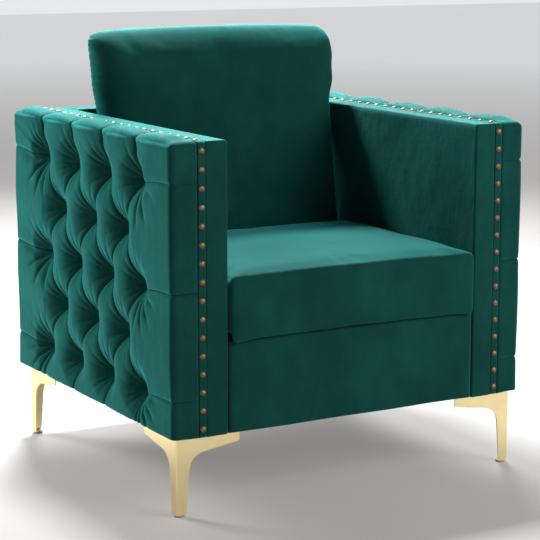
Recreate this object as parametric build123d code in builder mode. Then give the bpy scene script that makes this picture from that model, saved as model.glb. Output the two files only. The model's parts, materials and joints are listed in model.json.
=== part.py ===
"""Club chair: square arms and back of one height, diamond-tufted outer arms, loose cushions, flared legs.

The front faces -Y and the floor is z = 0, under the middle of the overall box. Left and right are as seen
from the front. All sizes are in millimetres.
"""

import os
from math import cos, dist, pi, radians, sin, sqrt, tan

from build123d import *

# Overall sizes
WIDTH = 800.0  # over the tufts of both outer arms
BODY_DEPTH = 755.0  # arm fronts to outside back
ARM_HEIGHT = 711.0  # floor to the top of the arms and back
LEG_HEIGHT = 152.0  # floor to the underside of the frame
ARM_WIDTH = 120.0
DECK_HEIGHT = 334.0  # floor to the deck that the cushions stand on
BACK_TOP_THICKNESS = 70.0  # of the back, at its top
BACK_LEAN = 8.3  # degrees

# Layers of an arm, from the outside in; the timber takes what is left of the arm's width
TUFT_RISE = 24.0  # crest of a pillow over the folds
TUFT_PAD = 12.0
ARM_BOARD = 6.0
ARM_LINER = 4.0
INNER_PAD = 30.0

# Padding over the frame's top, front and rear
TOP_PAD = 20.0
FRONT_PAD = 20.0
BACK_PANEL = 12.0
PAD_ROUND = 12.0  # edges of the outer pad
INNER_ROUND = 14.0  # inner top edge of the arms, front edges of the border and back
FRONT_ROUND = 8.0  # front edges of the inner arm pad

# Tufts of an outer arm
TUFT_COLUMNS = 4  # in the odd rows; the rows between have one fewer
TUFT_ROWS = 5
TUFT_END = 148.0  # from the arm's ends to the outer tufts
TUFT_MARGIN = 79.0  # from its top and bottom to the outer rows
HEM = 4.0  # from the lowest pillows to the bottom edge
PLEAT_HALF = 3.0  # half the width of a pleat on the top and front
PLEAT_DEPTH = 4.0
PILLOW_STEPS = ((0.97, 0.0), (0.91, 0.42), (0.77, 0.78), (0.48, 1.0))  # share of outline, share of rise

# Nail band and nails
NAIL_INSET = 65.0  # nail line from the outside of the arm
BAND_WIDTH = 15.0
BAND_RECESS = 2.0
NAIL_HEAD = 13.0
NAIL_RISE = 4.5
NAIL_SHANK = 2.5
NAIL_LENGTH = 22.0
NAIL_SIDES = 8
NAIL_STEPS = ((1.0, 0.0), (0.86, 0.5), (0.42, 1.0))  # share of radius, share of rise
FRONT_NAILS = 16
FRONT_NAIL_MARGIN = 18.0  # from the ends of the front row to the arm's top and bottom
TOP_NAILS = 21
TOP_NAIL_MARGIN = 26.0  # from the ends of the top row to the arm's front and rear

# Timber
POST_DEPTH = 44.0
RAIL_THICKNESS = 25.0
ARM_RAIL_HEIGHT = 50.0
SIDE_RAIL_HEIGHT = 60.0
BACK_RAIL_HEIGHT = 60.0
CORNER_BLOCK = 55.0
CORNER_BLOCK_HEIGHT = 40.0

# Seat suspension
WIRE = 4.0
SPRINGS = 4
SPRING_SPACING = 130.0
SPRING_RUNS = 17  # cross runs of one spring
SPRING_STRAIGHT = 20.0  # straight part of a cross run
SPRING_FLATS = 4  # flats of one half turn
CLIP_WIDTH = 16.0
CLIP_LENGTH = 14.0
CLIP_METAL = 1.2
CLIP_PLAY = 0.1
DECK_PAD = 25.0
DECK_CLOTH = 1.5

# Back webbing and dust cover
STRAPS = 3
STRAP_WIDTH = 60.0
STRAP = 1.5
DUST_CLOTH = 1.0
DUST_MARGIN = 6.0  # from the timber's edge
DUST_GAP = 3.0  # round the leg plates

# Legs
LEG_INSET = 15.0  # from the arm's outside and front
REAR_LEG_INSET = 35.0
LEG_METAL = 3.0
WING_LENGTH = 135.0
WING_TIP = 18.0  # height of a wing at its end
WING_ROOT = 34.0  # height of a wing where it meets the post
POST_TOP = 30.0  # width of the post under the wing
POST_FOOT = 21.0  # width of the post at the floor
WING_ROUND = 34.0
CORNER_BREAK = 2.0
PLATE_LENGTH = 130.0  # legs of the triangular top plate
GLIDE_DIAMETER = 20.0
GLIDE_HEIGHT = 4.0
GLIDE_STEM = 6.0
GLIDE_SIDES = 16
GLIDE_CENTRE = 10.0  # from both outer faces of the leg
GLIDE_PLAY = 0.1
SCREW = 4.0
SCREW_HEAD = 8.0
SCREW_HEAD_HEIGHT = 2.5
SCREW_LENGTH = 28.0
SCREW_SIDES = 8
SCREW_PLAY = 0.1
SCREW_NEAR = 14.0  # from the leg's corner to the nearer screws
SCREW_POST = 49.0
SCREW_RAIL = 68.0
SCREW_CROSS = 89.0

# Cushions
SOFT_GAP = 0.3
CUSHION_GAP = 1.0  # between a cushion and each arm
SEAT_OVERHANG = 10.0  # seat cushion proud of the arm fronts
SEAT_THICKNESS = 124.0  # at the edges
SEAT_CROWN = 16.0
SEAT_ROUND = 12.0
SEAT_DRAW = 9.0  # how far the cushion's ends draw in
CUSHION_CREASE = 4.0  # between the two cushions, at the deck
BACK_CUSHION_HEIGHT = 545.0
BACK_CUSHION_THICKNESS = 152.0
BACK_CUSHION_CROWN = 18.0
BACK_CUSHION_TOP = 62.0  # height of the rounded top
BACK_DRAW = 20.0
END_STEPS = (0.0, 0.13, 0.5, 1.0)  # stations along a rounded end, as shares of its draw
CROWN_STEPS = (0.75, 0.4)  # stations further in, as shares of the half width
CROWN_FALL = 0.85  # share of the crown that is lost at the ends
FIBRE_WRAP = 22.0  # cover and fibre round the foam cores

# Places that follow from the sizes
half = WIDTH / 2
front = SEAT_OVERHANG / 2 - BODY_DEPTH / 2
back = front + BODY_DEPTH
arm_inner = half - ARM_WIDTH
valley = half - TUFT_RISE
board_out = valley - TUFT_PAD
timber_out = board_out - ARM_BOARD
liner_in = arm_inner + INNER_PAD
timber_in = liner_in + ARM_LINER
timber_front = front + FRONT_PAD
timber_back = back - BACK_PANEL
timber_top = ARM_HEIGHT - TOP_PAD
rear_post_front = timber_back - POST_DEPTH
nail_line = half - NAIL_INSET
band_in = nail_line - BAND_WIDTH / 2
band_out = nail_line + BAND_WIDTH / 2
deck_underside = DECK_HEIGHT - DECK_CLOTH - DECK_PAD
seat_rail_top = deck_underside - WIRE - 2 * CLIP_METAL - 2 * CLIP_PLAY
spring_height = seat_rail_top + CLIP_METAL + CLIP_PLAY + WIRE / 2
seat_rear_rail = rear_post_front + RAIL_THICKNESS
webbing_front = rear_post_front - STRAP
lean = radians(BACK_LEAN)
back_top_front = back - BACK_TOP_THICKNESS
back_foot = back_top_front - (ARM_HEIGHT - DECK_HEIGHT) * tan(lean)
leg_x = half - LEG_INSET
leg_front = front + LEG_INSET
leg_back = back - REAR_LEG_INSET
plate_under = LEG_HEIGHT - LEG_METAL
cushion_half = arm_inner - CUSHION_GAP
cushion_bottom = DECK_HEIGHT + SOFT_GAP
screw_spots = ((SCREW_POST, SCREW_NEAR), (SCREW_POST, SCREW_RAIL), (SCREW_CROSS, SCREW_NEAR))
screw_points = [
    (side * (leg_x - u), corner_y)
    for side in (-1, 1)
    for u, v in screw_spots
    for corner_y in (leg_front + v, leg_back - v)
]


def save(part, label):
    """Name a finished piece and write it."""
    part.label = label
    export_step(part, f"parts/{label}.step")


def side_plane(x):
    """A plane square to X, with Y across and Z up."""
    return Plane(origin=(x, 0, 0), x_dir=(0, 1, 0), z_dir=(1, 0, 0))


def board(x_span, y_span, z_span, screws=()):
    """A straight board between two corners, with pilot holes for the leg screws under it."""
    with BuildPart() as timber:
        with BuildSketch(Plane.XY.offset(z_span[0])):
            with Locations((sum(x_span) / 2, sum(y_span) / 2)):
                Rectangle(x_span[1] - x_span[0], y_span[1] - y_span[0])
        extrude(amount=z_span[1] - z_span[0])
        under = [p for p in screws if x_span[0] < p[0] < x_span[1] and y_span[0] < p[1] < y_span[1]]
        if under:
            with BuildSketch(Plane.XY.offset(z_span[0])):
                with Locations(*under):
                    Circle(SCREW / 2 + SCREW_PLAY)
            extrude(amount=SCREW_LENGTH, mode=Mode.SUBTRACT)
    return timber.part


def both_sides(part, name):
    """Write a right-hand piece and its mirror image."""
    with BuildPart() as left:
        mirror(part, about=Plane.YZ)
    save(part, f"right_{name}")
    save(left.part, f"left_{name}")


def seat_and_back_frame():
    """The boards between the two arms."""
    across = (-timber_in, timber_in)
    front_y = (timber_front, timber_front + RAIL_THICKNESS)
    save(board(across, front_y, (LEG_HEIGHT, seat_rail_top), screw_points), "seat_front_rail")
    back_y = (rear_post_front, timber_back)
    lower_top = LEG_HEIGHT + BACK_RAIL_HEIGHT
    save(board(across, back_y, (LEG_HEIGHT, lower_top), screw_points), "back_lower_rail")
    save(board(across, (rear_post_front, seat_rear_rail), (lower_top, seat_rail_top)), "seat_rear_rail")
    save(board(across, back_y, (timber_top - BACK_RAIL_HEIGHT, timber_top)), "back_top_rail")


def arm_frame():
    """The timber, board and liner of the right arm, and their mirror images."""
    x_span = (timber_in, timber_out)
    post_z = (LEG_HEIGHT, timber_top)
    between = (timber_front + POST_DEPTH, rear_post_front)
    front_post_y = (timber_front, timber_front + POST_DEPTH)
    both_sides(board(x_span, front_post_y, post_z, screw_points), "arm_front_post")
    both_sides(board(x_span, (rear_post_front, timber_back), post_z, screw_points), "arm_rear_post")
    low_z = (LEG_HEIGHT, LEG_HEIGHT + ARM_RAIL_HEIGHT)
    both_sides(board(x_span, between, low_z, screw_points), "arm_bottom_rail")
    both_sides(board(x_span, between, (timber_top - ARM_RAIL_HEIGHT, timber_top)), "arm_top_rail")
    both_sides(board((timber_out, board_out), (timber_front, timber_back), post_z), "outer_arm_board")
    liner_y = (timber_front, webbing_front)
    both_sides(board((liner_in, timber_in), liner_y, (seat_rail_top, timber_top)), "inner_arm_liner")
    rail_x = (timber_in - RAIL_THICKNESS, timber_in)
    rail_y = (timber_front + RAIL_THICKNESS, rear_post_front)
    rail_z = (seat_rail_top - SIDE_RAIL_HEIGHT, seat_rail_top)
    both_sides(board(rail_x, rail_y, rail_z), "seat_side_rail")


def corner_blocks():
    """Triangular blocks in the four inside corners of the seat frame."""
    x = timber_in - RAIL_THICKNESS
    low = seat_rail_top - SIDE_RAIL_HEIGHT
    corners = ((timber_front + RAIL_THICKNESS, 1), (rear_post_front, -1))
    with BuildPart() as blocks:
        with BuildSketch(Plane.XY.offset(low)):
            for side in (-1, 1):
                for y, inward in corners:
                    Polygon(
                        (side * x, y),
                        (side * (x - CORNER_BLOCK), y),
                        (side * x, y + inward * CORNER_BLOCK),
                    )
        extrude(amount=CORNER_BLOCK_HEIGHT)
    save(blocks.part, "corner_blocks")


def spring_route(x, start, pitch):
    """Corners in plan of one zigzag spring: straight cross runs joined by half turns of a few flats."""
    corners = [(x - SPRING_STRAIGHT / 2, start)]
    for bend in range(SPRING_RUNS - 1):
        turn = 1 if bend % 2 == 0 else -1
        for k in range(SPRING_FLATS + 1):
            angle = pi * k / SPRING_FLATS
            reach = SPRING_STRAIGHT / 2 + pitch / 2 * sin(angle)
            corners.append((x + turn * reach, start + (bend + (1 - cos(angle)) / 2) * pitch))
    last_turn = 1 if SPRING_RUNS % 2 else -1
    corners.append((x + last_turn * SPRING_STRAIGHT / 2, start + (SPRING_RUNS - 1) * pitch))
    return corners


def mitred(corners, width):
    """Outline in plan of a wire of this width along the corners."""
    route = [complex(*corner) for corner in corners]
    runs = [(b - a) / abs(b - a) for a, b in zip(route, route[1:])]
    left, right = [], []
    for point, before, after in zip(route, runs[:1] + runs, runs + runs[-1:]):
        middle = (before + after) / abs(before + after)
        across = 1j * middle * width / 2 / (middle * before.conjugate()).real
        left.append(point + across)
        right.append(point - across)
    return [(q.real, q.imag) for q in left + right[::-1]]


def seat_springs():
    """Zigzag springs of square wire from the front rail to the rear rail, and the clips at their ends."""
    start = timber_front + RAIL_THICKNESS / 2
    end = seat_rear_rail - RAIL_THICKNESS / 2
    pitch = (end - start) / (SPRING_RUNS - 1)
    places = [(k - (SPRINGS - 1) / 2) * SPRING_SPACING for k in range(SPRINGS)]
    routes = [spring_route(x, start, pitch) for x in places]
    with BuildPart() as springs:
        with BuildSketch(Plane.XY.offset(spring_height - WIRE / 2)):
            for route in routes:
                Polygon(*mitred(route, WIRE))
        extrude(amount=WIRE)
    pairs = ((p, q) for i, p in enumerate(routes[0]) for q in routes[0][i + SPRING_FLATS + 1 :])
    gap = min(dist(p, q) for p, q in pairs) - WIRE
    print(f"spring wire: least gap to itself {gap:.1f} mm")
    save(springs.part, "seat_springs")
    ring = WIRE / 2 + CLIP_PLAY
    with BuildPart() as clips:
        for x in places:
            with BuildSketch(side_plane(x - CLIP_WIDTH / 2)):
                for y, outward in ((start, 1), (end, -1)):
                    for size, mode in ((ring + CLIP_METAL, Mode.ADD), (ring, Mode.SUBTRACT)):
                        with Locations((y, spring_height)):
                            Rectangle(2 * size, 2 * size, mode=mode)
                        with Locations((y + outward * CLIP_LENGTH / 2, spring_height)):
                            Rectangle(CLIP_LENGTH, 2 * size, mode=mode)
            extrude(amount=CLIP_WIDTH)
    save(clips.part, "spring_clips")


def deck():
    """The padded deck under the cushions, its cloth, the back webbing and the dust cover."""
    across = (SOFT_GAP - arm_inner, arm_inner - SOFT_GAP)
    along = (timber_front, seat_rear_rail)
    save(board(across, along, (deck_underside, DECK_HEIGHT - DECK_CLOTH)), "deck_pad")
    save(board(across, along, (DECK_HEIGHT - DECK_CLOTH, DECK_HEIGHT)), "deck_cloth")
    opening = (DECK_HEIGHT, timber_top - BACK_RAIL_HEIGHT)
    with BuildPart() as webbing:
        with BuildSketch(Plane.XZ.offset(-rear_post_front)):
            with Locations((0, sum(opening) / 2)):
                with GridLocations(0, (opening[1] - opening[0]) / STRAPS, 1, STRAPS):
                    Rectangle(2 * timber_out, STRAP_WIDTH)
        extrude(amount=STRAP)
    save(webbing.part, "back_webbing")
    with BuildPart() as dust_cover:
        with BuildSketch(Plane.XY.offset(LEG_HEIGHT - DUST_CLOTH)):
            depth = timber_back - timber_front - 2 * DUST_MARGIN
            with Locations((0, (timber_front + timber_back) / 2)):
                Rectangle(2 * (timber_out - DUST_MARGIN), depth)
            reach = WING_LENGTH + LEG_METAL + 2 * DUST_GAP
            for side in (-1, 1):
                for y, inward in ((leg_front, 1), (leg_back, -1)):
                    outside = y - inward * REAR_LEG_INSET
                    Polygon(
                        (side * half, outside),
                        (side * half, y + inward * reach),
                        (side * leg_x, y + inward * reach),
                        (side * (leg_x - reach), y),
                        (side * (leg_x - reach), outside),
                        mode=Mode.SUBTRACT,
                    )
        extrude(amount=DUST_CLOTH)
    save(dust_cover.part, "dust_cover")


def tuft_grid():
    """Tuft places of an outer arm: Y of the odd rows, Y of the rows between, and Z of all rows."""
    pitch_y = (BODY_DEPTH - 2 * TUFT_END) / (TUFT_COLUMNS - 1)
    pitch_z = (ARM_HEIGHT - LEG_HEIGHT - 2 * TUFT_MARGIN) / (TUFT_ROWS - 1)
    odd = [front + TUFT_END + k * pitch_y for k in range(TUFT_COLUMNS)]
    between = [(a + b) / 2 for a, b in zip(odd, odd[1:])]
    rows = [LEG_HEIGHT + TUFT_MARGIN + k * pitch_z for k in range(TUFT_ROWS)]
    return odd, between, rows


def pillow_outlines():
    """Outlines in Y and Z of the pillows between the tufts: diamonds, and the cells along the edges."""
    odd, between, rows = tuft_grid()
    near, far = front + PAD_ROUND, back - PAD_ROUND
    low, high = LEG_HEIGHT + HEM, ARM_HEIGHT - PAD_ROUND
    cells = []
    for a, mid, b in zip(odd, between, odd[1:]):
        cells.append([(a, low), (b, low), (b, rows[0]), (mid, rows[1]), (a, rows[0])])
        cells.append([(a, rows[-1]), (mid, rows[-2]), (b, rows[-1]), (b, high), (a, high)])
        for r in range(2, TUFT_ROWS - 1, 2):
            cells.append([(a, rows[r]), (mid, rows[r - 1]), (b, rows[r]), (mid, rows[r + 1])])
    for r in range(1, TUFT_ROWS, 2):
        under, over = rows[r - 1], rows[r + 1]
        for a, mid, b in zip(between, odd[1:], between[1:]):
            cells.append([(a, rows[r]), (mid, under), (b, rows[r]), (mid, over)])
        for edge, outer, inner in ((near, odd[0], between[0]), (far, odd[-1], between[-1])):
            cells.append([(edge, under), (outer, under), (inner, rows[r]), (outer, over), (edge, over)])
    for edge, outer in ((near, odd[0]), (far, odd[-1])):
        for border, row in ((low, rows[0]), (high, rows[-1])):
            cells.append([(edge, border), (outer, border), (outer, row), (edge, row)])
    return cells


def scaled(outline, share):
    """An outline drawn in towards the mean of its corners."""
    y_mid = sum(y for y, _ in outline) / len(outline)
    z_mid = sum(z for _, z in outline) / len(outline)
    return [(y_mid + share * (y - y_mid), z_mid + share * (z - z_mid)) for y, z in outline]


def outer_arm_pad():
    """The tufted pad of the right arm: a sheet over side, top and front, pleated, with domed pillows."""
    odd, _, rows = tuft_grid()
    with BuildPart() as pad:
        with BuildSketch(Plane.XZ.offset(-back)):
            with BuildLine():
                FilletPolyline(
                    (board_out, LEG_HEIGHT),
                    (valley, LEG_HEIGHT),
                    (valley, ARM_HEIGHT),
                    (band_out, ARM_HEIGHT),
                    (band_out, timber_top),
                    (board_out, timber_top),
                    radius=(0, 0, PAD_ROUND, 0, 0, 0),
                    close=True,
                )
            make_face()
        extrude(amount=back - timber_front)
        with BuildSketch(Plane.XZ.offset(-timber_front)):
            with BuildLine():
                FilletPolyline(
                    (band_out, LEG_HEIGHT),
                    (valley, LEG_HEIGHT),
                    (valley, ARM_HEIGHT),
                    (band_out, ARM_HEIGHT),
                    radius=(0, 0, PAD_ROUND, 0),
                    close=True,
                )
            make_face()
        extrude(amount=FRONT_PAD)
        front_face = pad.faces().sort_by(Axis.Y)[0]
        fillet(front_face.edges().filter_by(Axis.Z).sort_by(Axis.X)[-1], radius=PAD_ROUND)
        with BuildSketch(side_plane(band_out)):
            for y in odd:
                fold = (y, ARM_HEIGHT - PLEAT_DEPTH)
                Polygon((y - PLEAT_HALF, ARM_HEIGHT), fold, (y + PLEAT_HALF, ARM_HEIGHT))
            for z in rows[::2]:
                Polygon((front, z - PLEAT_HALF), (front + PLEAT_DEPTH, z), (front, z + PLEAT_HALF))
        extrude(amount=valley - band_out, mode=Mode.SUBTRACT)
        for outline in pillow_outlines():
            ConvexPolyhedron(
                (valley + rise * TUFT_RISE, y, z)
                for share, rise in PILLOW_STEPS
                for y, z in scaled(outline, share)
            )
    both_sides(pad.part, "outer_arm_pad")


def inner_arm_pad():
    """The plain pad of the right arm: inner side, and wraps over the top and front to the nail band."""
    with BuildPart() as pad:
        with BuildSketch(Plane.XZ.offset(-webbing_front)):
            with BuildLine():
                FilletPolyline(
                    (arm_inner, seat_rail_top),
                    (liner_in, seat_rail_top),
                    (liner_in, timber_top),
                    (band_in, timber_top),
                    (band_in, ARM_HEIGHT),
                    (arm_inner, ARM_HEIGHT),
                    radius=(0, 0, 0, 0, 0, INNER_ROUND),
                    close=True,
                )
            make_face()
        extrude(amount=webbing_front - timber_front)
        with BuildSketch(Plane.XZ.offset(-timber_front)):
            with BuildLine():
                FilletPolyline(
                    (arm_inner, LEG_HEIGHT),
                    (band_in, LEG_HEIGHT),
                    (band_in, ARM_HEIGHT),
                    (arm_inner, ARM_HEIGHT),
                    radius=(0, 0, 0, INNER_ROUND),
                    close=True,
                )
            make_face()
        extrude(amount=FRONT_PAD)
        front_face = pad.faces().sort_by(Axis.Y)[0]
        fillet(front_face.edges().filter_by(Axis.Z).sort_by(Axis.X)[0], radius=FRONT_ROUND)
        with BuildSketch(Plane.XZ.offset(-back)):
            with BuildLine():
                FilletPolyline(
                    (arm_inner, timber_top),
                    (band_in, timber_top),
                    (band_in, ARM_HEIGHT),
                    (arm_inner, ARM_HEIGHT),
                    radius=(0, 0, 0, INNER_ROUND),
                    close=True,
                )
            make_face()
        extrude(amount=back - webbing_front)
    both_sides(pad.part, "inner_arm_pad")


def nail_band():
    """The recessed strip up the front and along the top of the right arm, under the nails."""
    with BuildPart() as band:
        with BuildSketch(side_plane(band_in)):
            Polygon(
                (front + BAND_RECESS, LEG_HEIGHT),
                (timber_front, LEG_HEIGHT),
                (timber_front, timber_top),
                (back, timber_top),
                (back, ARM_HEIGHT - BAND_RECESS),
                (front + BAND_RECESS, ARM_HEIGHT - BAND_RECESS),
            )
        extrude(amount=BAND_WIDTH)
    both_sides(band.part, "nail_band")


def nail_row(planes):
    """A domed nail with its shank at each plane, whose normal points out of the chair."""
    angles = [2 * pi * k / NAIL_SIDES for k in range(NAIL_SIDES)]
    with BuildPart() as nail:
        ConvexPolyhedron(
            (share * NAIL_HEAD / 2 * cos(a), share * NAIL_HEAD / 2 * sin(a), rise * NAIL_RISE)
            for share, rise in NAIL_STEPS
            for a in angles
        )
        with BuildSketch():
            Rectangle(NAIL_SHANK, NAIL_SHANK)
        extrude(amount=-NAIL_LENGTH)
    with BuildPart() as row:
        with Locations(*planes):
            add(nail.part)
    return row.part


def nails():
    """The rows of nails on the front and top of each arm."""
    first, last = LEG_HEIGHT + FRONT_NAIL_MARGIN, ARM_HEIGHT - FRONT_NAIL_MARGIN
    step = (last - first) / (FRONT_NAILS - 1)
    front_planes = [
        Plane(origin=(nail_line, front + BAND_RECESS, first + k * step), z_dir=(0, -1, 0))
        for k in range(FRONT_NAILS)
    ]
    both_sides(nail_row(front_planes), "front_nails")
    step = (BODY_DEPTH - 2 * TOP_NAIL_MARGIN) / (TOP_NAILS - 1)
    top_planes = [
        Plane(origin=(nail_line, front + TOP_NAIL_MARGIN + k * step, ARM_HEIGHT - BAND_RECESS))
        for k in range(TOP_NAILS)
    ]
    both_sides(nail_row(top_planes), "top_nails")


def front_border():
    """The padded front of the seat rail, between the arms."""
    with BuildPart() as border:
        with BuildSketch(side_plane(SOFT_GAP - arm_inner)):
            with BuildLine():
                FilletPolyline(
                    (front, LEG_HEIGHT),
                    (timber_front, LEG_HEIGHT),
                    (timber_front, DECK_HEIGHT),
                    (front, DECK_HEIGHT),
                    radius=(0, 0, 0, INNER_ROUND),
                    close=True,
                )
            make_face()
        extrude(amount=2 * (arm_inner - SOFT_GAP))
    save(border.part, "front_border")


def back_pad():
    """The leaning pad inside the back, which also wraps over the back's top, and the panel behind it."""
    with BuildPart() as pad:
        with BuildSketch(side_plane(SOFT_GAP - arm_inner)):
            with BuildLine():
                FilletPolyline(
                    (back_foot, DECK_HEIGHT),
                    (webbing_front, DECK_HEIGHT),
                    (webbing_front, timber_top),
                    (back, timber_top),
                    (back, ARM_HEIGHT),
                    (back_top_front, ARM_HEIGHT),
                    radius=(0, 0, 0, 0, PAD_ROUND, INNER_ROUND),
                    close=True,
                )
            make_face()
        extrude(amount=2 * (arm_inner - SOFT_GAP))
    save(pad.part, "back_pad")
    with BuildPart() as panel:
        with BuildSketch(Plane.XY.offset(LEG_HEIGHT)):
            with Locations((0, (timber_back + back) / 2)):
                Rectangle(2 * board_out, BACK_PANEL)
        extrude(amount=timber_top - LEG_HEIGHT)
    save(panel.part, "outside_back_panel")


def legs():
    """Flared angle legs: two tapered wings, a top plate and a foot, with their glides and screws."""
    wing_plane = Plane(origin=(leg_x, leg_front, 0), x_dir=(-1, 0, 0), z_dir=(0, 1, 0))
    side_wing_plane = Plane(origin=(leg_x - LEG_METAL, leg_front, 0), x_dir=(0, 1, 0), z_dir=(1, 0, 0))
    foot_top = GLIDE_HEIGHT + LEG_METAL
    with BuildPart() as leg:
        for plane in (wing_plane, side_wing_plane):
            with BuildSketch(plane):
                with BuildLine():
                    FilletPolyline(
                        (0, GLIDE_HEIGHT),
                        (0, LEG_HEIGHT),
                        (WING_LENGTH, LEG_HEIGHT),
                        (WING_LENGTH, LEG_HEIGHT - WING_TIP),
                        (POST_TOP, LEG_HEIGHT - WING_ROOT),
                        (POST_FOOT, GLIDE_HEIGHT),
                        radius=(0, 0, 0, 0, WING_ROUND, 0),
                        close=True,
                    )
                make_face()
            extrude(amount=LEG_METAL)
        corner = leg.edges().filter_by(Axis.Z).sort_by(Axis.X).group_by(Axis.X)[-1].sort_by(Axis.Y)[0]
        chamfer(corner, length=CORNER_BREAK)
        inner_x, inner_y = leg_x - LEG_METAL, leg_front + LEG_METAL
        for z, reach in ((plate_under, PLATE_LENGTH), (GLIDE_HEIGHT, POST_FOOT)):
            with BuildSketch(Plane.XY.offset(z)):
                Polygon(
                    (inner_x, inner_y),
                    (inner_x, leg_front + reach),
                    (leg_x - reach, inner_y),
                )
            extrude(amount=LEG_METAL)
        with Locations(Plane(origin=(leg_x, leg_front, plate_under), x_dir=(1, 0, 0), z_dir=(0, 0, -1))):
            with Locations(*[(-u, -v) for u, v in screw_spots]):
                Hole(SCREW / 2 + SCREW_PLAY, depth=2 * LEG_METAL)
        with BuildSketch(Plane.XY.offset(GLIDE_HEIGHT)):
            with Locations((leg_x - GLIDE_CENTRE, leg_front + GLIDE_CENTRE)):
                Circle(GLIDE_STEM / 2 + GLIDE_PLAY)
        extrude(amount=LEG_METAL, mode=Mode.SUBTRACT)
    with BuildPart() as glide:
        with BuildSketch():
            with Locations((leg_x - GLIDE_CENTRE, leg_front + GLIDE_CENTRE)):
                RegularPolygon(GLIDE_DIAMETER / 2, GLIDE_SIDES)
        extrude(amount=GLIDE_HEIGHT)
        with BuildSketch(Plane.XY.offset(GLIDE_HEIGHT)):
            with Locations((leg_x - GLIDE_CENTRE, leg_front + GLIDE_CENTRE)):
                RegularPolygon(GLIDE_STEM / 2, GLIDE_SIDES)
        extrude(amount=foot_top - GLIDE_HEIGHT)
    middle = Plane(origin=(0, (leg_front + leg_back) / 2, 0), z_dir=(0, 1, 0))
    for name, piece in (("leg", leg.part), ("glide", glide.part)):
        both_sides(piece, f"front_{name}")
        with BuildPart() as rear:
            mirror(piece, about=middle)
        both_sides(rear.part, f"rear_{name}")
    with BuildPart() as screws:
        for diameter, length in ((SCREW_HEAD, -SCREW_HEAD_HEIGHT), (SCREW, SCREW_LENGTH)):
            with BuildSketch(Plane.XY.offset(plate_under)):
                with Locations(*screw_points):
                    RegularPolygon(diameter / 2, SCREW_SIDES)
            extrude(amount=length)
    save(screws.part, "leg_screws")


def rounded_corner(start, corner, end):
    """A quarter arc that rounds a square corner."""
    centre = [s + e - c for s, c, e in zip(start, corner, end)]
    middle = [m + (c - m) / sqrt(2) for m, c in zip(centre, corner)]
    ThreePointArc(start, tuple(middle), end)


def stations(draw):
    """Places across a cushion, with how far its outline draws in there and its share of the crown."""
    places = [(cushion_half - draw * step, draw * (1 - sqrt(1 - (1 - step) ** 2))) for step in END_STEPS]
    places += [(cushion_half * share, 0.0) for share in CROWN_STEPS]
    right = [(x, drawn, 1 - CROWN_FALL * (x / cushion_half) ** 2) for x, drawn in places]
    return [(-x, d, c) for x, d, c in right] + [(0.0, 0.0, 1.0)] + right[::-1]


def seat_cushion():
    """The boxed seat cushion: crowned top, drawn-in ends, and a foam core in a fitted space."""
    front_y = front - SEAT_OVERHANG
    rear_y = back_foot - BACK_CUSHION_THICKNESS / cos(lean) - CUSHION_CREASE
    with BuildPart() as cover:
        for x, draw, share in stations(SEAT_DRAW):
            near, far = front_y + draw, rear_y - draw
            low, high = cushion_bottom + draw, cushion_bottom + SEAT_THICKNESS - draw
            r = SEAT_ROUND
            with BuildSketch(side_plane(x)):
                with BuildLine():
                    Line((near + r, low), (far - r, low))
                    rounded_corner((far - r, low), (far, low), (far, low + r))
                    Line((far, low + r), (far, high - r))
                    rounded_corner((far, high - r), (far, high), (far - r, high))
                    top = (near + far) / 2, high + share * SEAT_CROWN
                    ThreePointArc((far - r, high), top, (near + r, high))
                    rounded_corner((near + r, high), (near, high), (near, high - r))
                    Line((near, high - r), (near, low + r))
                    rounded_corner((near, low + r), (near, low), (near + r, low))
                make_face()
        loft(ruled=True)
        core_x = cushion_half - FIBRE_WRAP
        core_y = (front_y + FIBRE_WRAP, rear_y - FIBRE_WRAP)
        core_z = (cushion_bottom + FIBRE_WRAP, cushion_bottom + SEAT_THICKNESS - FIBRE_WRAP)
        with BuildSketch(Plane.XY.offset(core_z[0] - SOFT_GAP)):
            with Locations((0, sum(core_y) / 2)):
                Rectangle(2 * (core_x + SOFT_GAP), core_y[1] - core_y[0] + 2 * SOFT_GAP)
        extrude(amount=core_z[1] - core_z[0] + 2 * SOFT_GAP, mode=Mode.SUBTRACT)
    save(cover.part, "seat_cushion_cover")
    save(board((-core_x, core_x), core_y, core_z), "seat_cushion_core")


def back_plane(x):
    """A plane square to X on the leaning back: its X points forward and its Y up the slope."""
    foot = (x, back_foot - SOFT_GAP, cushion_bottom)
    return Plane(origin=foot, x_dir=(0, -cos(lean), sin(lean)), z_dir=(-1, 0, 0))


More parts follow.
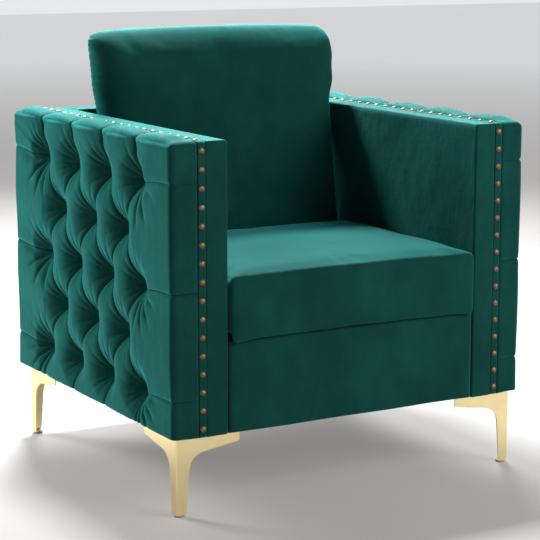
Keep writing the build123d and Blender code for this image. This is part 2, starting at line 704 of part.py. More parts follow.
def back_cushion():
    """The back cushion, which leans on the back pad: crowned front, rounded top, drawn-in ends."""
    thick, height = BACK_CUSHION_THICKNESS, BACK_CUSHION_HEIGHT
    with BuildPart() as cover:
        for x, draw, share in stations(BACK_DRAW):
            near, far, top = draw, thick - draw, height - draw
            shoulder = top - BACK_CUSHION_TOP
            with BuildSketch(back_plane(x)):
                with BuildLine():
                    Line((near, draw - near * tan(lean)), (far, draw - far * tan(lean)))
                    belly = (far + share * BACK_CUSHION_CROWN, shoulder / 2)
                    ThreePointArc((far, draw - far * tan(lean)), belly, (far, shoulder))
                    ThreePointArc((far, shoulder), ((near + far) / 2, top), (near, shoulder))
                    Line((near, shoulder), (near, draw - near * tan(lean)))
                make_face()
        loft(ruled=True)
        core_x = cushion_half - FIBRE_WRAP
        wide, tall = thick - 2 * FIBRE_WRAP, height - BACK_CUSHION_TOP - FIBRE_WRAP
        with BuildSketch(back_plane(core_x + SOFT_GAP)):
            with Locations((thick / 2, FIBRE_WRAP + tall / 2)):
                Rectangle(wide + 2 * SOFT_GAP, tall + 2 * SOFT_GAP)
        extrude(amount=2 * (core_x + SOFT_GAP), mode=Mode.SUBTRACT)
    save(cover.part, "back_cushion_cover")
    with BuildPart() as core:
        with BuildSketch(back_plane(core_x)):
            with Locations((thick / 2, FIBRE_WRAP + tall / 2)):
                Rectangle(wide, tall)
        extrude(amount=2 * core_x)
    save(core.part, "back_cushion_core")


os.makedirs("parts", exist_ok=True)
seat_and_back_frame()
arm_frame()
corner_blocks()
seat_springs()
deck()
outer_arm_pad()
inner_arm_pad()
nail_band()
nails()
front_border()
back_pad()
legs()
seat_cushion()
back_cushion()
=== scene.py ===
# %% [markdown]
# # A tufted velvet club chair
#
# This lesson dresses a club chair. The timber, boards, springs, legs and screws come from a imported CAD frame,
# at their real size and place. What is left for Blender is what an upholsterer adds: tufted pads, plain pads,
# nailheads, two loose cushions, and the finish of every surface. All lengths are in metres, the floor is
# z = 0, the chair's front faces -Y, and left and right are as seen from the front.

# %% Load the frame
import json
import math

import bmesh
import bpy
import numpy as np
from mathutils import Matrix, Vector


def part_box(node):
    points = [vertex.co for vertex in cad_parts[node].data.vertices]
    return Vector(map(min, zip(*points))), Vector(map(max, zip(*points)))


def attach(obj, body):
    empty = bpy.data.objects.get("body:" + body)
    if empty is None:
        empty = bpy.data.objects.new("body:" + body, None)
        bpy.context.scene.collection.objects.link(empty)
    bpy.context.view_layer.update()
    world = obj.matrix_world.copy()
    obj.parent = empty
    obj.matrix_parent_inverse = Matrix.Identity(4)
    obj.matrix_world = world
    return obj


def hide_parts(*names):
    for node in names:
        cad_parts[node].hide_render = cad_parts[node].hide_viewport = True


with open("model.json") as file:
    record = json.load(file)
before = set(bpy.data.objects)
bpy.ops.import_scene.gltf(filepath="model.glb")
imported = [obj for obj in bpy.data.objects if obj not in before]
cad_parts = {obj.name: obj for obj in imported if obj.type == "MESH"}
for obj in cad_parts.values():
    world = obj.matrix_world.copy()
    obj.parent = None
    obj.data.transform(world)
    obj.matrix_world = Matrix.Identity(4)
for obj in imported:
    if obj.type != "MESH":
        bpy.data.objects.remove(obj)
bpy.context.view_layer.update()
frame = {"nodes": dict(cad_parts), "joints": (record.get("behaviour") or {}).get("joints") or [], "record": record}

# %% [markdown]
# ## Places
#
# Every place is read from the frame, so a changed chair keeps its dress on. The pads of one arm share a few
# planes: the outside, the two edges of the nail band, the inner face, the front, the back, the top and the
# underside. The right arm is measured, and the left one is its mirror image.

# %% Read the planes of an arm from the frame
MM = 0.001
FAR = 10.0  # beyond everything, for cuts that run right through
pad_low, pad_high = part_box("right_outer_arm_pad")
inner_low, inner_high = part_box("right_inner_arm_pad")
board_low, board_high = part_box("right_outer_arm_board")
liner_low, liner_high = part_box("right_inner_arm_liner")
arm_outside, arm_inside = pad_high.x, inner_low.x
band_out, band_in = pad_low.x, inner_high.x
arm_front, arm_back = pad_low.y, pad_high.y
arm_base, arm_top = pad_low.z, pad_high.z
board_face, liner_face = board_high.x, liner_low.x
timber_front, timber_top = board_low.y, board_high.z
liner_foot, liner_rear = liner_low.z, liner_high.y
print("arm from", round(arm_inside, 4), "to", round(arm_outside, 4), "top", round(arm_top, 4))

# %% [markdown]
# ## Camera, light and floor
#
# The camera stands where a fit to the chair's own straight edges put it: to the left, a little over the arms,
# looking down by ten degrees through a long lens. The light is a plain studio: a softbox behind on the left,
# which leaves the fronts in shade, one behind on the right and a small one overhead that rake over the tops,
# and a weak fill. The world is pale to the eye and to the polished legs, but gives matt surfaces only a little
# light, so that the hollows between the tufts stay deep.

# %% Set up the studio
CAMERA_PLACE = (-1.8856, -3.3411, 1.0850)
CAMERA_YAW = math.radians(29.71)
CAMERA_DIP = math.radians(10.36)
CAMERA_LENS, SENSOR_WIDTH = 123.2, 36.0  # millimetres
FLOOR_SIZE, VIEW_END = 40.0, 50.0
SEAT_MIDDLE = (0.0, 0.0, 0.45)
scene = bpy.context.scene


def add_camera():
    """The camera at the fitted place and angle."""
    data = bpy.data.cameras.new("camera")
    data.sensor_width = SENSOR_WIDTH
    data.lens = CAMERA_LENS
    data.clip_end = VIEW_END
    camera = bpy.data.objects.new("camera", data)
    camera.location = CAMERA_PLACE
    camera.rotation_euler = (math.pi / 2 - CAMERA_DIP, 0.0, -CAMERA_YAW)
    scene.collection.objects.link(camera)
    scene.camera = camera


def add_softbox(name, place, size, power, colour, mirrored=True):
    """A soft rectangular light that faces the seat, and may be left out of the mirroring of the metals."""
    data = bpy.data.lights.new(name, "AREA")
    data.shape = "RECTANGLE"
    data.size, data.size_y = size
    data.energy = power
    data.color = colour
    light = bpy.data.objects.new(name, data)
    light.visible_glossy = mirrored
    light.location = place
    light.rotation_euler = (Vector(SEAT_MIDDLE) - Vector(place)).to_track_quat("-Z", "Y").to_euler()
    scene.collection.objects.link(light)


def add_world(colour, strength, matt_strength):
    """An even pale surrounding, dimmer for the light that it sheds on matt surfaces."""
    world = bpy.data.worlds.new("studio")
    world.use_nodes = True
    tree = world.node_tree
    background = tree.nodes["Background"]
    background.inputs["Color"].default_value = (*colour, 1.0)
    ray = tree.nodes.new("ShaderNodeLightPath")
    dim = tree.nodes.new("ShaderNodeMapRange")
    dim.inputs["To Min"].default_value = strength
    dim.inputs["To Max"].default_value = matt_strength
    tree.links.new(ray.outputs["Is Diffuse Ray"], dim.inputs["Value"])
    tree.links.new(dim.outputs["Result"], background.inputs["Strength"])
    scene.world = world


add_camera()
add_softbox("left_softbox", (-1.9, 2.9, 1.7), (1.3, 1.3), 168.0, (1.0, 0.98, 0.95), mirrored=False)
add_softbox("rear_softbox", (1.4, 2.6, 2.2), (1.6, 1.6), 145.0, (0.95, 0.98, 1.0))
add_softbox("overhead", (0.12, 1.45, 2.7), (0.4, 0.4), 180.0, (0.97, 0.99, 1.0))
add_softbox("front_fill", (1.7, -3.1, 2.2), (2.2, 2.2), 92.0, (1.0, 1.0, 1.0))
add_world((0.95, 0.96, 0.97), 0.85, 0.05)
scene.view_settings.view_transform = "Standard"
bpy.ops.object.select_all(action="DESELECT")
bpy.ops.mesh.primitive_plane_add(size=FLOOR_SIZE)
floor = bpy.context.object
floor.name = "floor"
print("camera, four lights and a floor")

# %% [markdown]
# ## Finishes
#
# A finish is a small tree of nodes that reads Object coordinates, so that its grain keeps its real size. One
# helper starts a tree with a Principled shader; the others add noise, a ramp of colours, and bump. Whatever is
# the same all over a surface is typed into the shader's own socket.

# %% Helpers for the finishes
def start_finish(name):
    """A new material: its tree, its Principled shader and its Object coordinates."""
    material = bpy.data.materials.new(name)
    material.use_nodes = True
    tree = material.node_tree
    shader = tree.nodes["Principled BSDF"]
    coordinates = tree.nodes.new("ShaderNodeTexCoord")
    return material, tree, shader, coordinates.outputs["Object"]


def set_sockets(node, **values):
    """Type constant values into sockets, named with underscores for spaces."""
    for key, value in values.items():
        node.inputs[key.replace("_", " ")].default_value = value


def plug(tree, node, **sources):
    """Link outputs into sockets, named with underscores for spaces."""
    for key, source in sources.items():
        tree.links.new(source, node.inputs[key.replace("_", " ")])


def noise(tree, vector, scale, detail=3.0, roughness=0.5, stretch=None):
    """A noise texture, stretched by a Mapping node where asked."""
    if stretch is not None:
        mapping = tree.nodes.new("ShaderNodeMapping")
        mapping.inputs["Scale"].default_value = stretch
        plug(tree, mapping, Vector=vector)
        vector = mapping.outputs["Vector"]
    texture = tree.nodes.new("ShaderNodeTexNoise")
    set_sockets(texture, Scale=scale, Detail=detail, Roughness=roughness)
    plug(tree, texture, Vector=vector)
    return texture.outputs["Fac"]


def ramp(tree, value, *stops):
    """A colour ramp through (position, colour) stops; one number stands for a grey."""
    node = tree.nodes.new("ShaderNodeValToRGB")
    elements = node.color_ramp.elements
    while len(elements) < len(stops):
        elements.new(0.5)
    for element, (position, colour) in zip(elements, stops):
        element.position = position
        element.color = (*colour, 1.0) if isinstance(colour, tuple) else (colour, colour, colour, 1.0)
    plug(tree, node, Fac=value)
    return node.outputs["Color"]


def multiply_colours(tree, first, second):
    """One colour times another."""
    node = tree.nodes.new("ShaderNodeMix")
    node.data_type = "RGBA"
    node.blend_type = "MULTIPLY"
    node.inputs[0].default_value = 1.0
    tree.links.new(first, node.inputs[6])
    tree.links.new(second, node.inputs[7])
    return node.outputs[2]


def weighted_sum(tree, first, first_weight, second, second_weight):
    """Two values, each times its weight, added."""
    scaled = tree.nodes.new("ShaderNodeMath")
    scaled.operation = "MULTIPLY"
    tree.links.new(first, scaled.inputs[0])
    scaled.inputs[1].default_value = first_weight
    total = tree.nodes.new("ShaderNodeMath")
    total.operation = "MULTIPLY_ADD"
    tree.links.new(second, total.inputs[0])
    total.inputs[1].default_value = second_weight
    tree.links.new(scaled.outputs[0], total.inputs[2])
    return total.outputs[0]


def bump(tree, shader, height, strength, distance):
    """Bump from a height socket, in metres."""
    node = tree.nodes.new("ShaderNodeBump")
    set_sockets(node, Strength=strength, Distance=distance)
    plug(tree, node, Height=height)
    plug(tree, shader, Normal=node.outputs["Normal"])


print("helpers ready")

# %% [markdown]
# ## Velvet
#
# Velvet is a short upright pile. Seen straight on it swallows light and looks deep; seen along the surface the
# fibre tips catch light and it pales. The sheen of the Principled shader does just that. Hands brush the pile
# one way and the other, which leaves soft clouds, so a wide noise and a streaky one move the colour a little.
# The bump adds the same streaks to the cloth's own fine grain.

# %% Mix the velvet
def velvet_finish():
    """Emerald velvet with brushed clouds in its pile."""
    material, tree, shader, place = start_finish("emerald_velvet")
    clouds = noise(tree, place, 7.0, detail=4.0, roughness=0.55)
    streaks = noise(tree, place, 26.0, detail=3.0, roughness=0.6, stretch=(1.0, 1.0, 0.6))
    nap = weighted_sum(tree, clouds, 0.7, streaks, 0.3)
    dark, middle, light = (0.0043, 0.050, 0.041), (0.0055, 0.060, 0.050), (0.0074, 0.074, 0.062)
    colour = ramp(tree, nap, (0.36, dark), (0.50, middle), (0.64, light))
    grain = noise(tree, place, 900.0, detail=2.0)
    speckle = ramp(tree, grain, (0.35, 0.80), (0.65, 1.0))
    plug(tree, shader, Base_Color=multiply_colours(tree, colour, speckle))
    set_sockets(shader, Roughness=0.8, Specular_IOR_Level=0.05, Sheen_Weight=1.0, Sheen_Roughness=0.42)
    set_sockets(shader, Sheen_Tint=(0.066, 0.46, 0.450, 1.0))
    bump(tree, shader, weighted_sum(tree, grain, 0.13, streaks, 1.0), 0.42, 0.003)
    return material


velvet = velvet_finish()
print("mixed", velvet.name)

# %% [markdown]
# ## Metals, timber and the hidden cloths
#
# The legs are gold-plated and polished, so they mirror their surroundings, with a faint cloudiness. The
# nailheads are antique brass: dull and brown, and worn a little paler in spots. Timber has streaks along its
# length, board has chips, and the lining under the seat is a black bonded cloth.

# %% Mix the metals
def polished_gold():
    """Pale gold plate with faint wiping marks."""
    material, tree, shader, place = start_finish("pale_gold")
    cloud = noise(tree, place, 40.0, detail=4.0)
    colour = ramp(tree, cloud, (0.3, (0.93, 0.77, 0.41)), (0.7, (0.97, 0.82, 0.47)))
    plug(tree, shader, Base_Color=colour)
    wipes = noise(tree, place, 160.0, detail=3.0, stretch=(1.0, 1.0, 0.15))
    plug(tree, shader, Roughness=ramp(tree, wipes, (0.3, 0.23), (0.7, 0.27)))
    set_sockets(shader, Metallic=1.0)
    return material


def antique_brass():
    """Dull brown brass that is worn paler in spots."""
    material, tree, shader, place = start_finish("antique_brass")
    wear = noise(tree, place, 260.0, detail=4.0, roughness=0.6)
    brown, tan, pale = (0.12, 0.074, 0.036), (0.205, 0.132, 0.067), (0.27, 0.188, 0.10)
    plug(tree, shader, Base_Color=ramp(tree, wear, (0.30, brown), (0.52, tan), (0.72, pale)))
    plug(tree, shader, Roughness=ramp(tree, wear, (0.3, 0.56), (0.7, 0.42)))
    set_sockets(shader, Metallic=1.0)
    bump(tree, shader, wear, 0.2, 0.0004)
    return material


gold = polished_gold()
brass = antique_brass()
print("mixed", gold.name, "and", brass.name)

# %% Mix the hidden finishes
def grained(name, dark, light, scale, roughness, stretch=None):
    """A streaked finish: timber, board, foam, webbing or steel, by its colours and stretch."""
    material, tree, shader, place = start_finish(name)
    streaks = noise(tree, place, scale, detail=5.0, roughness=0.6, stretch=stretch)
    plug(tree, shader, Base_Color=ramp(tree, streaks, (0.3, dark), (0.7, light)))
    set_sockets(shader, Roughness=roughness)
    bump(tree, shader, streaks, 0.25, 0.0006)
    return material


def black_lining():
    """Bonded lining: black, with the small dots that its rollers press in."""
    material, tree, shader, place = start_finish("black_lining")
    dots = tree.nodes.new("ShaderNodeTexVoronoi")
    set_sockets(dots, Scale=320.0, Randomness=0.25)
    plug(tree, dots, Vector=place)
    fibres = noise(tree, place, 500.0, detail=3.0, stretch=(1.0, 0.3, 1.0))
    colour = ramp(tree, fibres, (0.3, (0.008, 0.008, 0.009)), (0.7, (0.030, 0.030, 0.032)))
    plug(tree, shader, Base_Color=colour)
    set_sockets(shader, Roughness=0.85, Specular_IOR_Level=0.2)
    bump(tree, shader, dots.outputs["Distance"], 0.4, 0.0005)
    return material


def pale_floor():
    """A plain pale floor with a breath of unevenness, and a painted glow, dim near the chair, bright far off."""
    material, tree, shader, place = start_finish("pale_floor")
    tone = noise(tree, place, 1.2, detail=2.0)
    colour = ramp(tree, tone, (0.3, (0.29, 0.275, 0.265)), (0.7, (0.33, 0.315, 0.305)))
    plug(tree, shader, Base_Color=colour)
    # Painted glow: emission, dim near the chair and brighter far off, where the floor meets the world.
    away, far = (tree.nodes.new(kind) for kind in ("ShaderNodeVectorMath", "ShaderNodeMapRange"))
    away.operation = "LENGTH"
    tree.links.new(place, away.inputs[0])
    plug(tree, far, Value=away.outputs["Value"])
    set_sockets(far, From_Min=2.5, From_Max=12.0)
    glow = ramp(tree, far.outputs["Result"], (0.0, (0.22, 0.213, 0.207)), (1.0, (0.55, 0.56, 0.57)))
    plug(tree, shader, Emission_Color=glow)
    set_sockets(shader, Roughness=0.7, Specular_IOR_Level=0.25, Emission_Strength=1.0)
    return material


lining = black_lining()
timber = grained("pine_timber", (0.42, 0.26, 0.12), (0.62, 0.44, 0.24), 60.0, 0.65, (1.0, 0.3, 0.06))
board = grained("pressed_board", (0.22, 0.13, 0.07), (0.36, 0.24, 0.14), 140.0, 0.8)
steel = grained("drawn_steel", (0.30, 0.30, 0.31), (0.48, 0.48, 0.49), 300.0, 0.38, (1.0, 0.06, 1.0))
set_sockets(steel.node_tree.nodes["Principled BSDF"], Metallic=1.0)
foam = grained("seat_foam", (0.62, 0.56, 0.36), (0.74, 0.68, 0.47), 700.0, 0.9)
strap = grained("jute_strap", (0.20, 0.15, 0.09), (0.36, 0.29, 0.18), 500.0, 0.85, (0.08, 1.0, 1.0))
plastic = grained("grey_plastic", (0.30, 0.30, 0.29), (0.36, 0.36, 0.35), 400.0, 0.45)
floor.data.materials.append(pale_floor())
FINISH_OF_SLOT = {
    "velvet": velvet,
    "lining": lining,
    "foam": foam,
    "webbing": strap,
    "timber": timber,
    "board": board,
    "steel": steel,
    "leg_gold": gold,
    "nail_brass": brass,
    "glide_plastic": plastic,
}
for row in frame["record"]["subparts"]:
    node = frame["nodes"][row["node"]]
    node.data.materials.clear()
    node.data.materials.append(FINISH_OF_SLOT[row["material_slot"]])

# %% [markdown]
# ## Skins of blocks
#
# Every pad here began as a block of foam, so every pad can begin as the skin of a block. Three lists of
# coordinates cut the block into cells, boxes of cells are taken out where timber stands, and a face is laid
# wherever a filled cell meets an empty one, so the skin is closed. The outer edges are then rounded by moving
# each point onto an ellipse about its edge.

# %% Helpers for the skins
HAIR = 1e-6  # a point this near a plane lies on it
TINY = 1e-9  # keeps a length from being 0 where it divides


def evenly(*stops, step):
    """Lines from stop to stop, about one step apart, with every stop on a line."""
    lines = [np.array([stops[0]])]
    for start, end in zip(stops, stops[1:]):
        cells = max(1, round(abs(end - start) / step))
        lines.append(np.linspace(start, end, cells + 1)[1:])
    return np.concatenate(lines)


def joined_lines(*parts):
    """Lists of lines, each ending where the next one starts, as one list."""
    return np.concatenate([parts[0]] + [part[1:] for part in parts[1:]])


def edge_lines(low, high, step, edge, reach):
    """Lines that are close together within reach of both ends."""
    return joined_lines(
        evenly(low, low + reach, step=edge),
        evenly(low + reach, high - reach, step=step),
        evenly(high - reach, high, step=edge),
    )


def block_skin(xs, ys, zs, cuts=()):
    """Points and outward quads of a block with boxes cut out, and which quads lie on a cut."""
    middles = [(lines[1:] + lines[:-1]) / 2 for lines in (xs, ys, zs)]
    filled = np.ones([len(m) for m in middles], bool)
    for low, high in cuts:
        x, y, z = ((m > a) & (m < b) for m, a, b in zip(middles, low, high))
        filled &= ~(x[:, None, None] & y[None, :, None] & z[None, None, :])
    quads, on_cut = [], []
    for axis in range(3):
        u, v = (axis + 1) % 3, (axis + 2) % 3
        border = [(1, 1) if a == axis else (0, 0) for a in range(3)]
        change = np.diff(np.pad(filled, border).astype(int), axis=axis)
        for sign in (-1, 1):
            cells = np.argwhere(change == sign)
            ring = []
            for du, dv in ((0, 0), (1, 0), (1, 1), (0, 1)):
                corner = cells.copy()
                corner[:, u] += du
                corner[:, v] += dv
                ring.append((corner[:, 0] * len(ys) + corner[:, 1]) * len(zs) + corner[:, 2])
            quads.append(np.column_stack(ring if sign < 0 else ring[::-1]))
            on_cut.append((cells[:, axis] > 0) & (cells[:, axis] < filled.shape[axis]))
    used, quads = np.unique(np.concatenate(quads), return_inverse=True)
    i, rest = np.divmod(used, len(ys) * len(zs))
    j, k = np.divmod(rest, len(zs))
    return np.column_stack([xs[i], ys[j], zs[k]]), quads.reshape(-1, 4), np.concatenate(on_cut)


def round_edges(points, low_radii, high_radii):
    """Points of a block moved onto ellipses about its outer edges, and the outward directions there."""
    low, high = points.min(0), points.max(0)
    low_radii, high_radii = np.array(low_radii), np.array(high_radii)
    inner = np.clip(points, low + low_radii, high - high_radii)
    radii = np.where(points > (low + high) / 2, high_radii, low_radii)
    reach = np.divide(points - inner, radii, out=np.zeros_like(points), where=radii > 0)
    length = np.maximum(np.linalg.norm(reach, axis=1, keepdims=True), TINY)
    most = np.abs(reach).max(1, keepdims=True)
    outward = np.divide(reach, radii, out=np.zeros_like(points), where=radii > 0)
    outward /= np.maximum(np.linalg.norm(outward, axis=1, keepdims=True), TINY)
    rounded = inner + radii * reach * most / length
    buried = ((points > low + HAIR) & (points < high - HAIR)).all(1)
    rounded[buried] = points[buried]
    outward[buried] = 0.0
    return rounded, outward


def soft_step(value, start, end):
    """From 0 at start to 1 at end, with level ends."""
    share = np.clip((value - start) / (end - start), 0.0, 1.0)
    return share * share * (3 - 2 * share)


def ripple(points, waves, seed):
    """A smooth random field from -1 to 1: plane waves with the given wavelengths."""
    random = np.random.default_rng(seed)
    field = np.zeros(len(points))
    for wavelength in np.repeat(waves, 3):
        direction = random.normal(size=3)
        direction /= np.linalg.norm(direction)
        phase = random.uniform(0, 2 * math.pi)
        field += np.sin(points @ direction * 2 * math.pi / wavelength + phase)
    return np.clip(field / (2 * math.sqrt(1.5 * len(waves))), -1, 1)


print("skin helpers ready")

# %% Helpers that make a piece of a skin
def new_piece(name, points, faces, finish, body="frame"):
    """A smooth mesh piece at the origin, with its finish and body."""
    mesh = bpy.data.meshes.new(name)
    mesh.from_pydata([tuple(p) for p in points], [], [tuple(f) for f in faces])
    mesh.materials.append(finish)
    mesh.polygons.foreach_set("use_smooth", [True] * len(mesh.polygons))
    piece = bpy.data.objects.new(name, mesh)
    scene.collection.objects.link(piece)
    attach(piece, body)
    return piece


def merge_hidden(piece, hidden):
    """Merge a piece's flat hidden faces into large ones, and turn its normals outwards."""
    mesh = bmesh.new()
    mesh.from_mesh(piece.data)
    walls = {}
    for face, flag in zip(mesh.faces, hidden):
        if flag:
            walls.setdefault(tuple(round(c) for c in face.normal), []).append(face)
    for wall in walls.values():
        bmesh.ops.dissolve_faces(mesh, faces=wall, use_verts=True)
    bmesh.ops.recalc_face_normals(mesh, faces=mesh.faces)
    mesh.to_mesh(piece.data)
    mesh.free()


def triangles(piece):
    """How many triangles a piece has."""
    return sum(len(p.vertices) - 2 for p in piece.data.polygons)


def plain_pad(name, node, lines, cuts, low_radii, high_radii, seed, side=1, bend=None, unevenness=1.0 * MM):
    """A plain stretched pad: a block with cuts, rounded, a little uneven, that replaces a CAD node."""
    sharp, faces, hidden = block_skin(*lines, cuts)
    points, outward = round_edges(sharp, low_radii, high_radii)
    if bend is not None:
        points = bend(points)
    points = points - outward * (unevenness * (1 + ripple(points, (0.34, 0.19), seed)))[:, None]
    points[:, 0] *= side
    pad = new_piece(name, points, faces, velvet)
    merge_hidden(pad, hidden)
    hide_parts(node)
    print(name, triangles(pad), "triangles")
    return pad


print("piece helpers ready")

# %% [markdown]
# ## Tufted outer arms
#
# The cloth of the outer arm is drawn through to the board at 18 points, in rows of 4, 3, 4, 3 and 4, and the
# slack between the points is laid in folds: diagonal ones from tuft to tuft, and straight ones from the outer
# tufts to the edges. It could be sculpted, or simulated with pins at the tufts. Here it is a formula, because
# an upholsterer's folds are laid out with a ruler. In the middle a point's place in its diamond is a pair of
# shares, one along each diagonal, and the product of two arches over those shares swells to 1 in the middle of
# the pillow and falls to 0 on the folds. A funnel is sunk at each tuft and a narrow crease along each fold. The
# net's lines are spaced so that its own diagonals lie on the folds, which keeps them crisp. Towards the edges
# the diamonds give way to straight folds.

# %% Lay out the tufts
TUFT_COLUMNS, TUFT_ROWS = 4, 5
TUFT_FRONT, TUFT_BACK = 161 * MM, 145 * MM  # from the front and back edges to the first and last column
TUFT_FOOT, TUFT_TOP = 65 * MM, 87 * MM  # from the bottom and top edges to the first and last row
first_y, last_y = arm_front + TUFT_FRONT, arm_back - TUFT_BACK
first_z, last_z = arm_base + TUFT_FOOT, arm_top - TUFT_TOP
pitch_y = (last_y - first_y) / (TUFT_COLUMNS - 1)
pitch_z = 2 * (last_z - first_z) / (TUFT_ROWS - 1)
tufts = []
for row in range(TUFT_ROWS):
    shift = row % 2 * pitch_y / 2
    for column in range(TUFT_COLUMNS - row % 2):
        tufts.append((first_y + shift + column * pitch_y, first_z + row * pitch_z / 2))
print(len(tufts), "tufts on each arm, diamonds", round(pitch_y, 4), "by", round(pitch_z, 4))

# %% Shape the pillows
ARCH = 0.7  # power of an arch: the lower, the plumper
TOP_ARCH, END_ARCH = 0.8, 0.3  # the same for the straight folds, which are tighter at the ends
FOLD_DEPTH = 5 * MM
TOP_FOLD, END_FOLD, HEM_FOLD = 11 * MM, 1.5 * MM, 2.0 * MM  # where a fold reaches an edge
BAND_FOLD = 1.5 * MM  # and where it ends at the nail band
END_BLEND, TOP_BLEND = 110 * MM, 50 * MM  # past the tufts, where the straight folds have their full arch
TO_EDGE, TO_BAND = (0.0, 0.9), (0.95, 1.6)  # shares of the way past the tufts where a fold's depth changes
TUCK_DEPTH, TUCK_DROP, TUCK_WIDTH = 4.0 * MM, 15 * MM, 2.0 * MM  # the tuck along the top of the front


def arch(share, power):
    """An arch over a share from 0 to 1, steep at its feet."""
    share = share - np.floor(share)
    return np.power(np.clip(4 * share * (1 - share), 0.0, 1.0), power)


def beyond_tufts(y, z):
    """How far a point of the unrolled cloth is past the outer columns and rows of tufts."""
    return np.maximum(first_y - y, y - last_y), np.maximum(first_z - z, z - last_z)


def pillows(y, z):
    """How far each point of the unrolled cloth has swelled, from 0 on the folds to 1."""
    u, v = (y - first_y) / pitch_y, (z - first_z) / pitch_z
    past_y, past_z = beyond_tufts(y, z)
    middle = arch(u + v, ARCH) * arch(u - v, ARCH)
    end_power = 2 * ARCH + (END_ARCH - 2 * ARCH) * soft_step(past_y, 0.0, END_BLEND)
    top_power = 2 * ARCH + (TOP_ARCH - 2 * ARCH) * soft_step(past_z, 0.0, TOP_BLEND)
    near_u = np.minimum(np.abs(past_y) / pitch_y, 0.5)
    near_v = np.minimum(np.abs(past_z) / pitch_z, 0.5)
    corners = arch(near_u, TOP_ARCH) * arch(near_v, END_ARCH)
    swell = np.where(past_y > 0, arch(v, end_power), middle)
    swell = np.where(past_z > 0, arch(u, top_power), swell)
    return np.where((past_y > 0) & (past_z > 0), corners, swell)


def fold_depths(y, z):
    """Depth of the folds under the crests, which get shallow towards the edges."""
    past_y, past_z = (np.maximum(past, 0.0) for past in beyond_tufts(y, z))
    share_y, share_z = past_y / TUFT_BACK, past_z / TUFT_FOOT
    at_edge = np.where(share_y > share_z, END_FOLD, np.where(z < first_z, HEM_FOLD, TOP_FOLD))
    fade = np.maximum(share_y, share_z)
    depth = FOLD_DEPTH + (at_edge - FOLD_DEPTH) * soft_step(fade, *TO_EDGE)
    return depth + (BAND_FOLD - at_edge) * soft_step(fade, *TO_BAND)


print("pillow formula ready")

# %% [markdown]
# Around a tuft the cloth gathers in small creases that fan out. Each tuft gets its own fan: creases at uneven
# angles, sharp in their valleys, strongest about a finger's width from the tuft and gone after three.

# %% Sink the tufts and gather creases round them
FUNNEL_DEPTH, FUNNEL_WIDTH = 31 * MM, 41 * MM
PIT_DEPTH, PIT_WIDTH = 4 * MM, 8 * MM
CREST_DROP = 9 * MM  # what the funnels take off the middle of a pillow
SEAM_DEPTH, SEAM_WIDTH = 3.4 * MM, 2.4 * MM  # the narrow crease along a fold
PLEAT, PLEAT_SHARE = 8 * MM, 0.7  # from a straight fold at the ends to its second crease, and that one's depth
PLEAT_START, PLEAT_TOP = 30 * MM, 20 * MM  # past the tufts, where it is at its full depth and where it stops
PLEAT_FADE = 120 * MM, 60 * MM  # past the tufts, where it has gone and where it begins to go
SLOT_DEPTH, SLOT_WIDTH = 5.5 * MM, 0.6 * MM  # where the cloth is folded over itself there
SLOT_START = 25 * MM  # past the tufts, where that slot is at its full depth
END_RISE, RISE_REACH = 9 * MM, 130 * MM  # how far those folds climb towards the front and back, over how far
CREASE_DEPTH = 4.2 * MM
CREASE_PEAK = 20 * MM  # distance from the tuft where the creases are deepest
CREASES = (15, 21)  # fewest, and one over the most, round one tuft
CREASE_WAY = math.radians(38)  # the cloth is slackest up and back from a tuft
CREASE_LEAST = 0.15  # share of the depth that is left on the tight side
PULL_DEPTH, PULL_PEAK, PULLS = 5.5 * MM, 56 * MM, (11, 16)  # long creases from the end columns to the edges
PULL_DROP = math.radians(48)  # which hang downwards
PULL_FAN = 0.45, 0.85  # cosines from that direction, where a long crease starts and where it is full
PULL_END = 1.9, 0.9  # distances in peaks, where it has gone and where it begins to go


def funnels(y, z):
    """Depth of the funnels that the tufts pull into the pillows."""
    depth = np.full(len(y), -CREST_DROP)
    for tuft_y, tuft_z in tufts:
        away = (y - tuft_y) ** 2 + (z - tuft_z) ** 2
        depth += FUNNEL_DEPTH / (1 + away / FUNNEL_WIDTH**2) ** 1.5
        depth += PIT_DEPTH * np.exp(-away / PIT_WIDTH**2)
    return np.maximum(depth, 0.0)


def gathers(y, z, seed):
    """Depth of the creases that fan out from the tufts."""
    random = np.random.default_rng(seed)
    depth = np.zeros(len(y))
    for tuft_y, tuft_z in tufts:
        dy, dz = y - tuft_y, z - tuft_z
        away = np.hypot(dy, dz) / CREASE_PEAK
        angle = np.arctan2(dz, dy)
        count = random.integers(*CREASES)
        phase, sway, lean = random.uniform(0, 2 * math.pi, 3)
        turn = angle * count / 2 + phase + 0.9 * np.sin(2 * angle + sway) + 0.5 * np.sin(3 * angle + lean)
        valley = (1 - np.abs(np.sin(turn))) ** 2
        strength = CREASE_LEAST + (1 - CREASE_LEAST) * soft_step(np.cos(angle - CREASE_WAY), -0.3, 0.6)
        strength *= 0.8 + 0.3 * np.sin(5 * angle + sway)
        depth += CREASE_DEPTH * strength * valley * away**1.3 * np.exp(1.3 * (1 - away))
    return depth


def pulls(y, z, seed):
    """Long soft creases from the tufts of the end columns towards the front and back edges."""
    random = np.random.default_rng(seed)
    depth = np.zeros(len(y))
    for tuft_y, tuft_z in tufts:
        count = random.integers(*PULLS)
        phase, sway = random.uniform(0, 2 * math.pi, 2)
        if first_y + pitch_y / 4 < tuft_y < last_y - pitch_y / 4:
            continue
        outwards = np.sign(tuft_y - (first_y + last_y) / 2)
        dy, dz = (y - tuft_y) * outwards, z - tuft_z
        away = np.hypot(dy, dz) / PULL_PEAK
        angle = np.arctan2(dz, dy)
        valley = (1 - np.abs(np.sin(angle * count / 2 + phase + 0.8 * np.sin(2 * angle + sway)))) ** 2
        facing = soft_step(np.cos(angle + PULL_DROP), *PULL_FAN)
        depth += PULL_DEPTH * facing * valley * away * np.exp(1 - away) * soft_step(away, *PULL_END)
    return depth


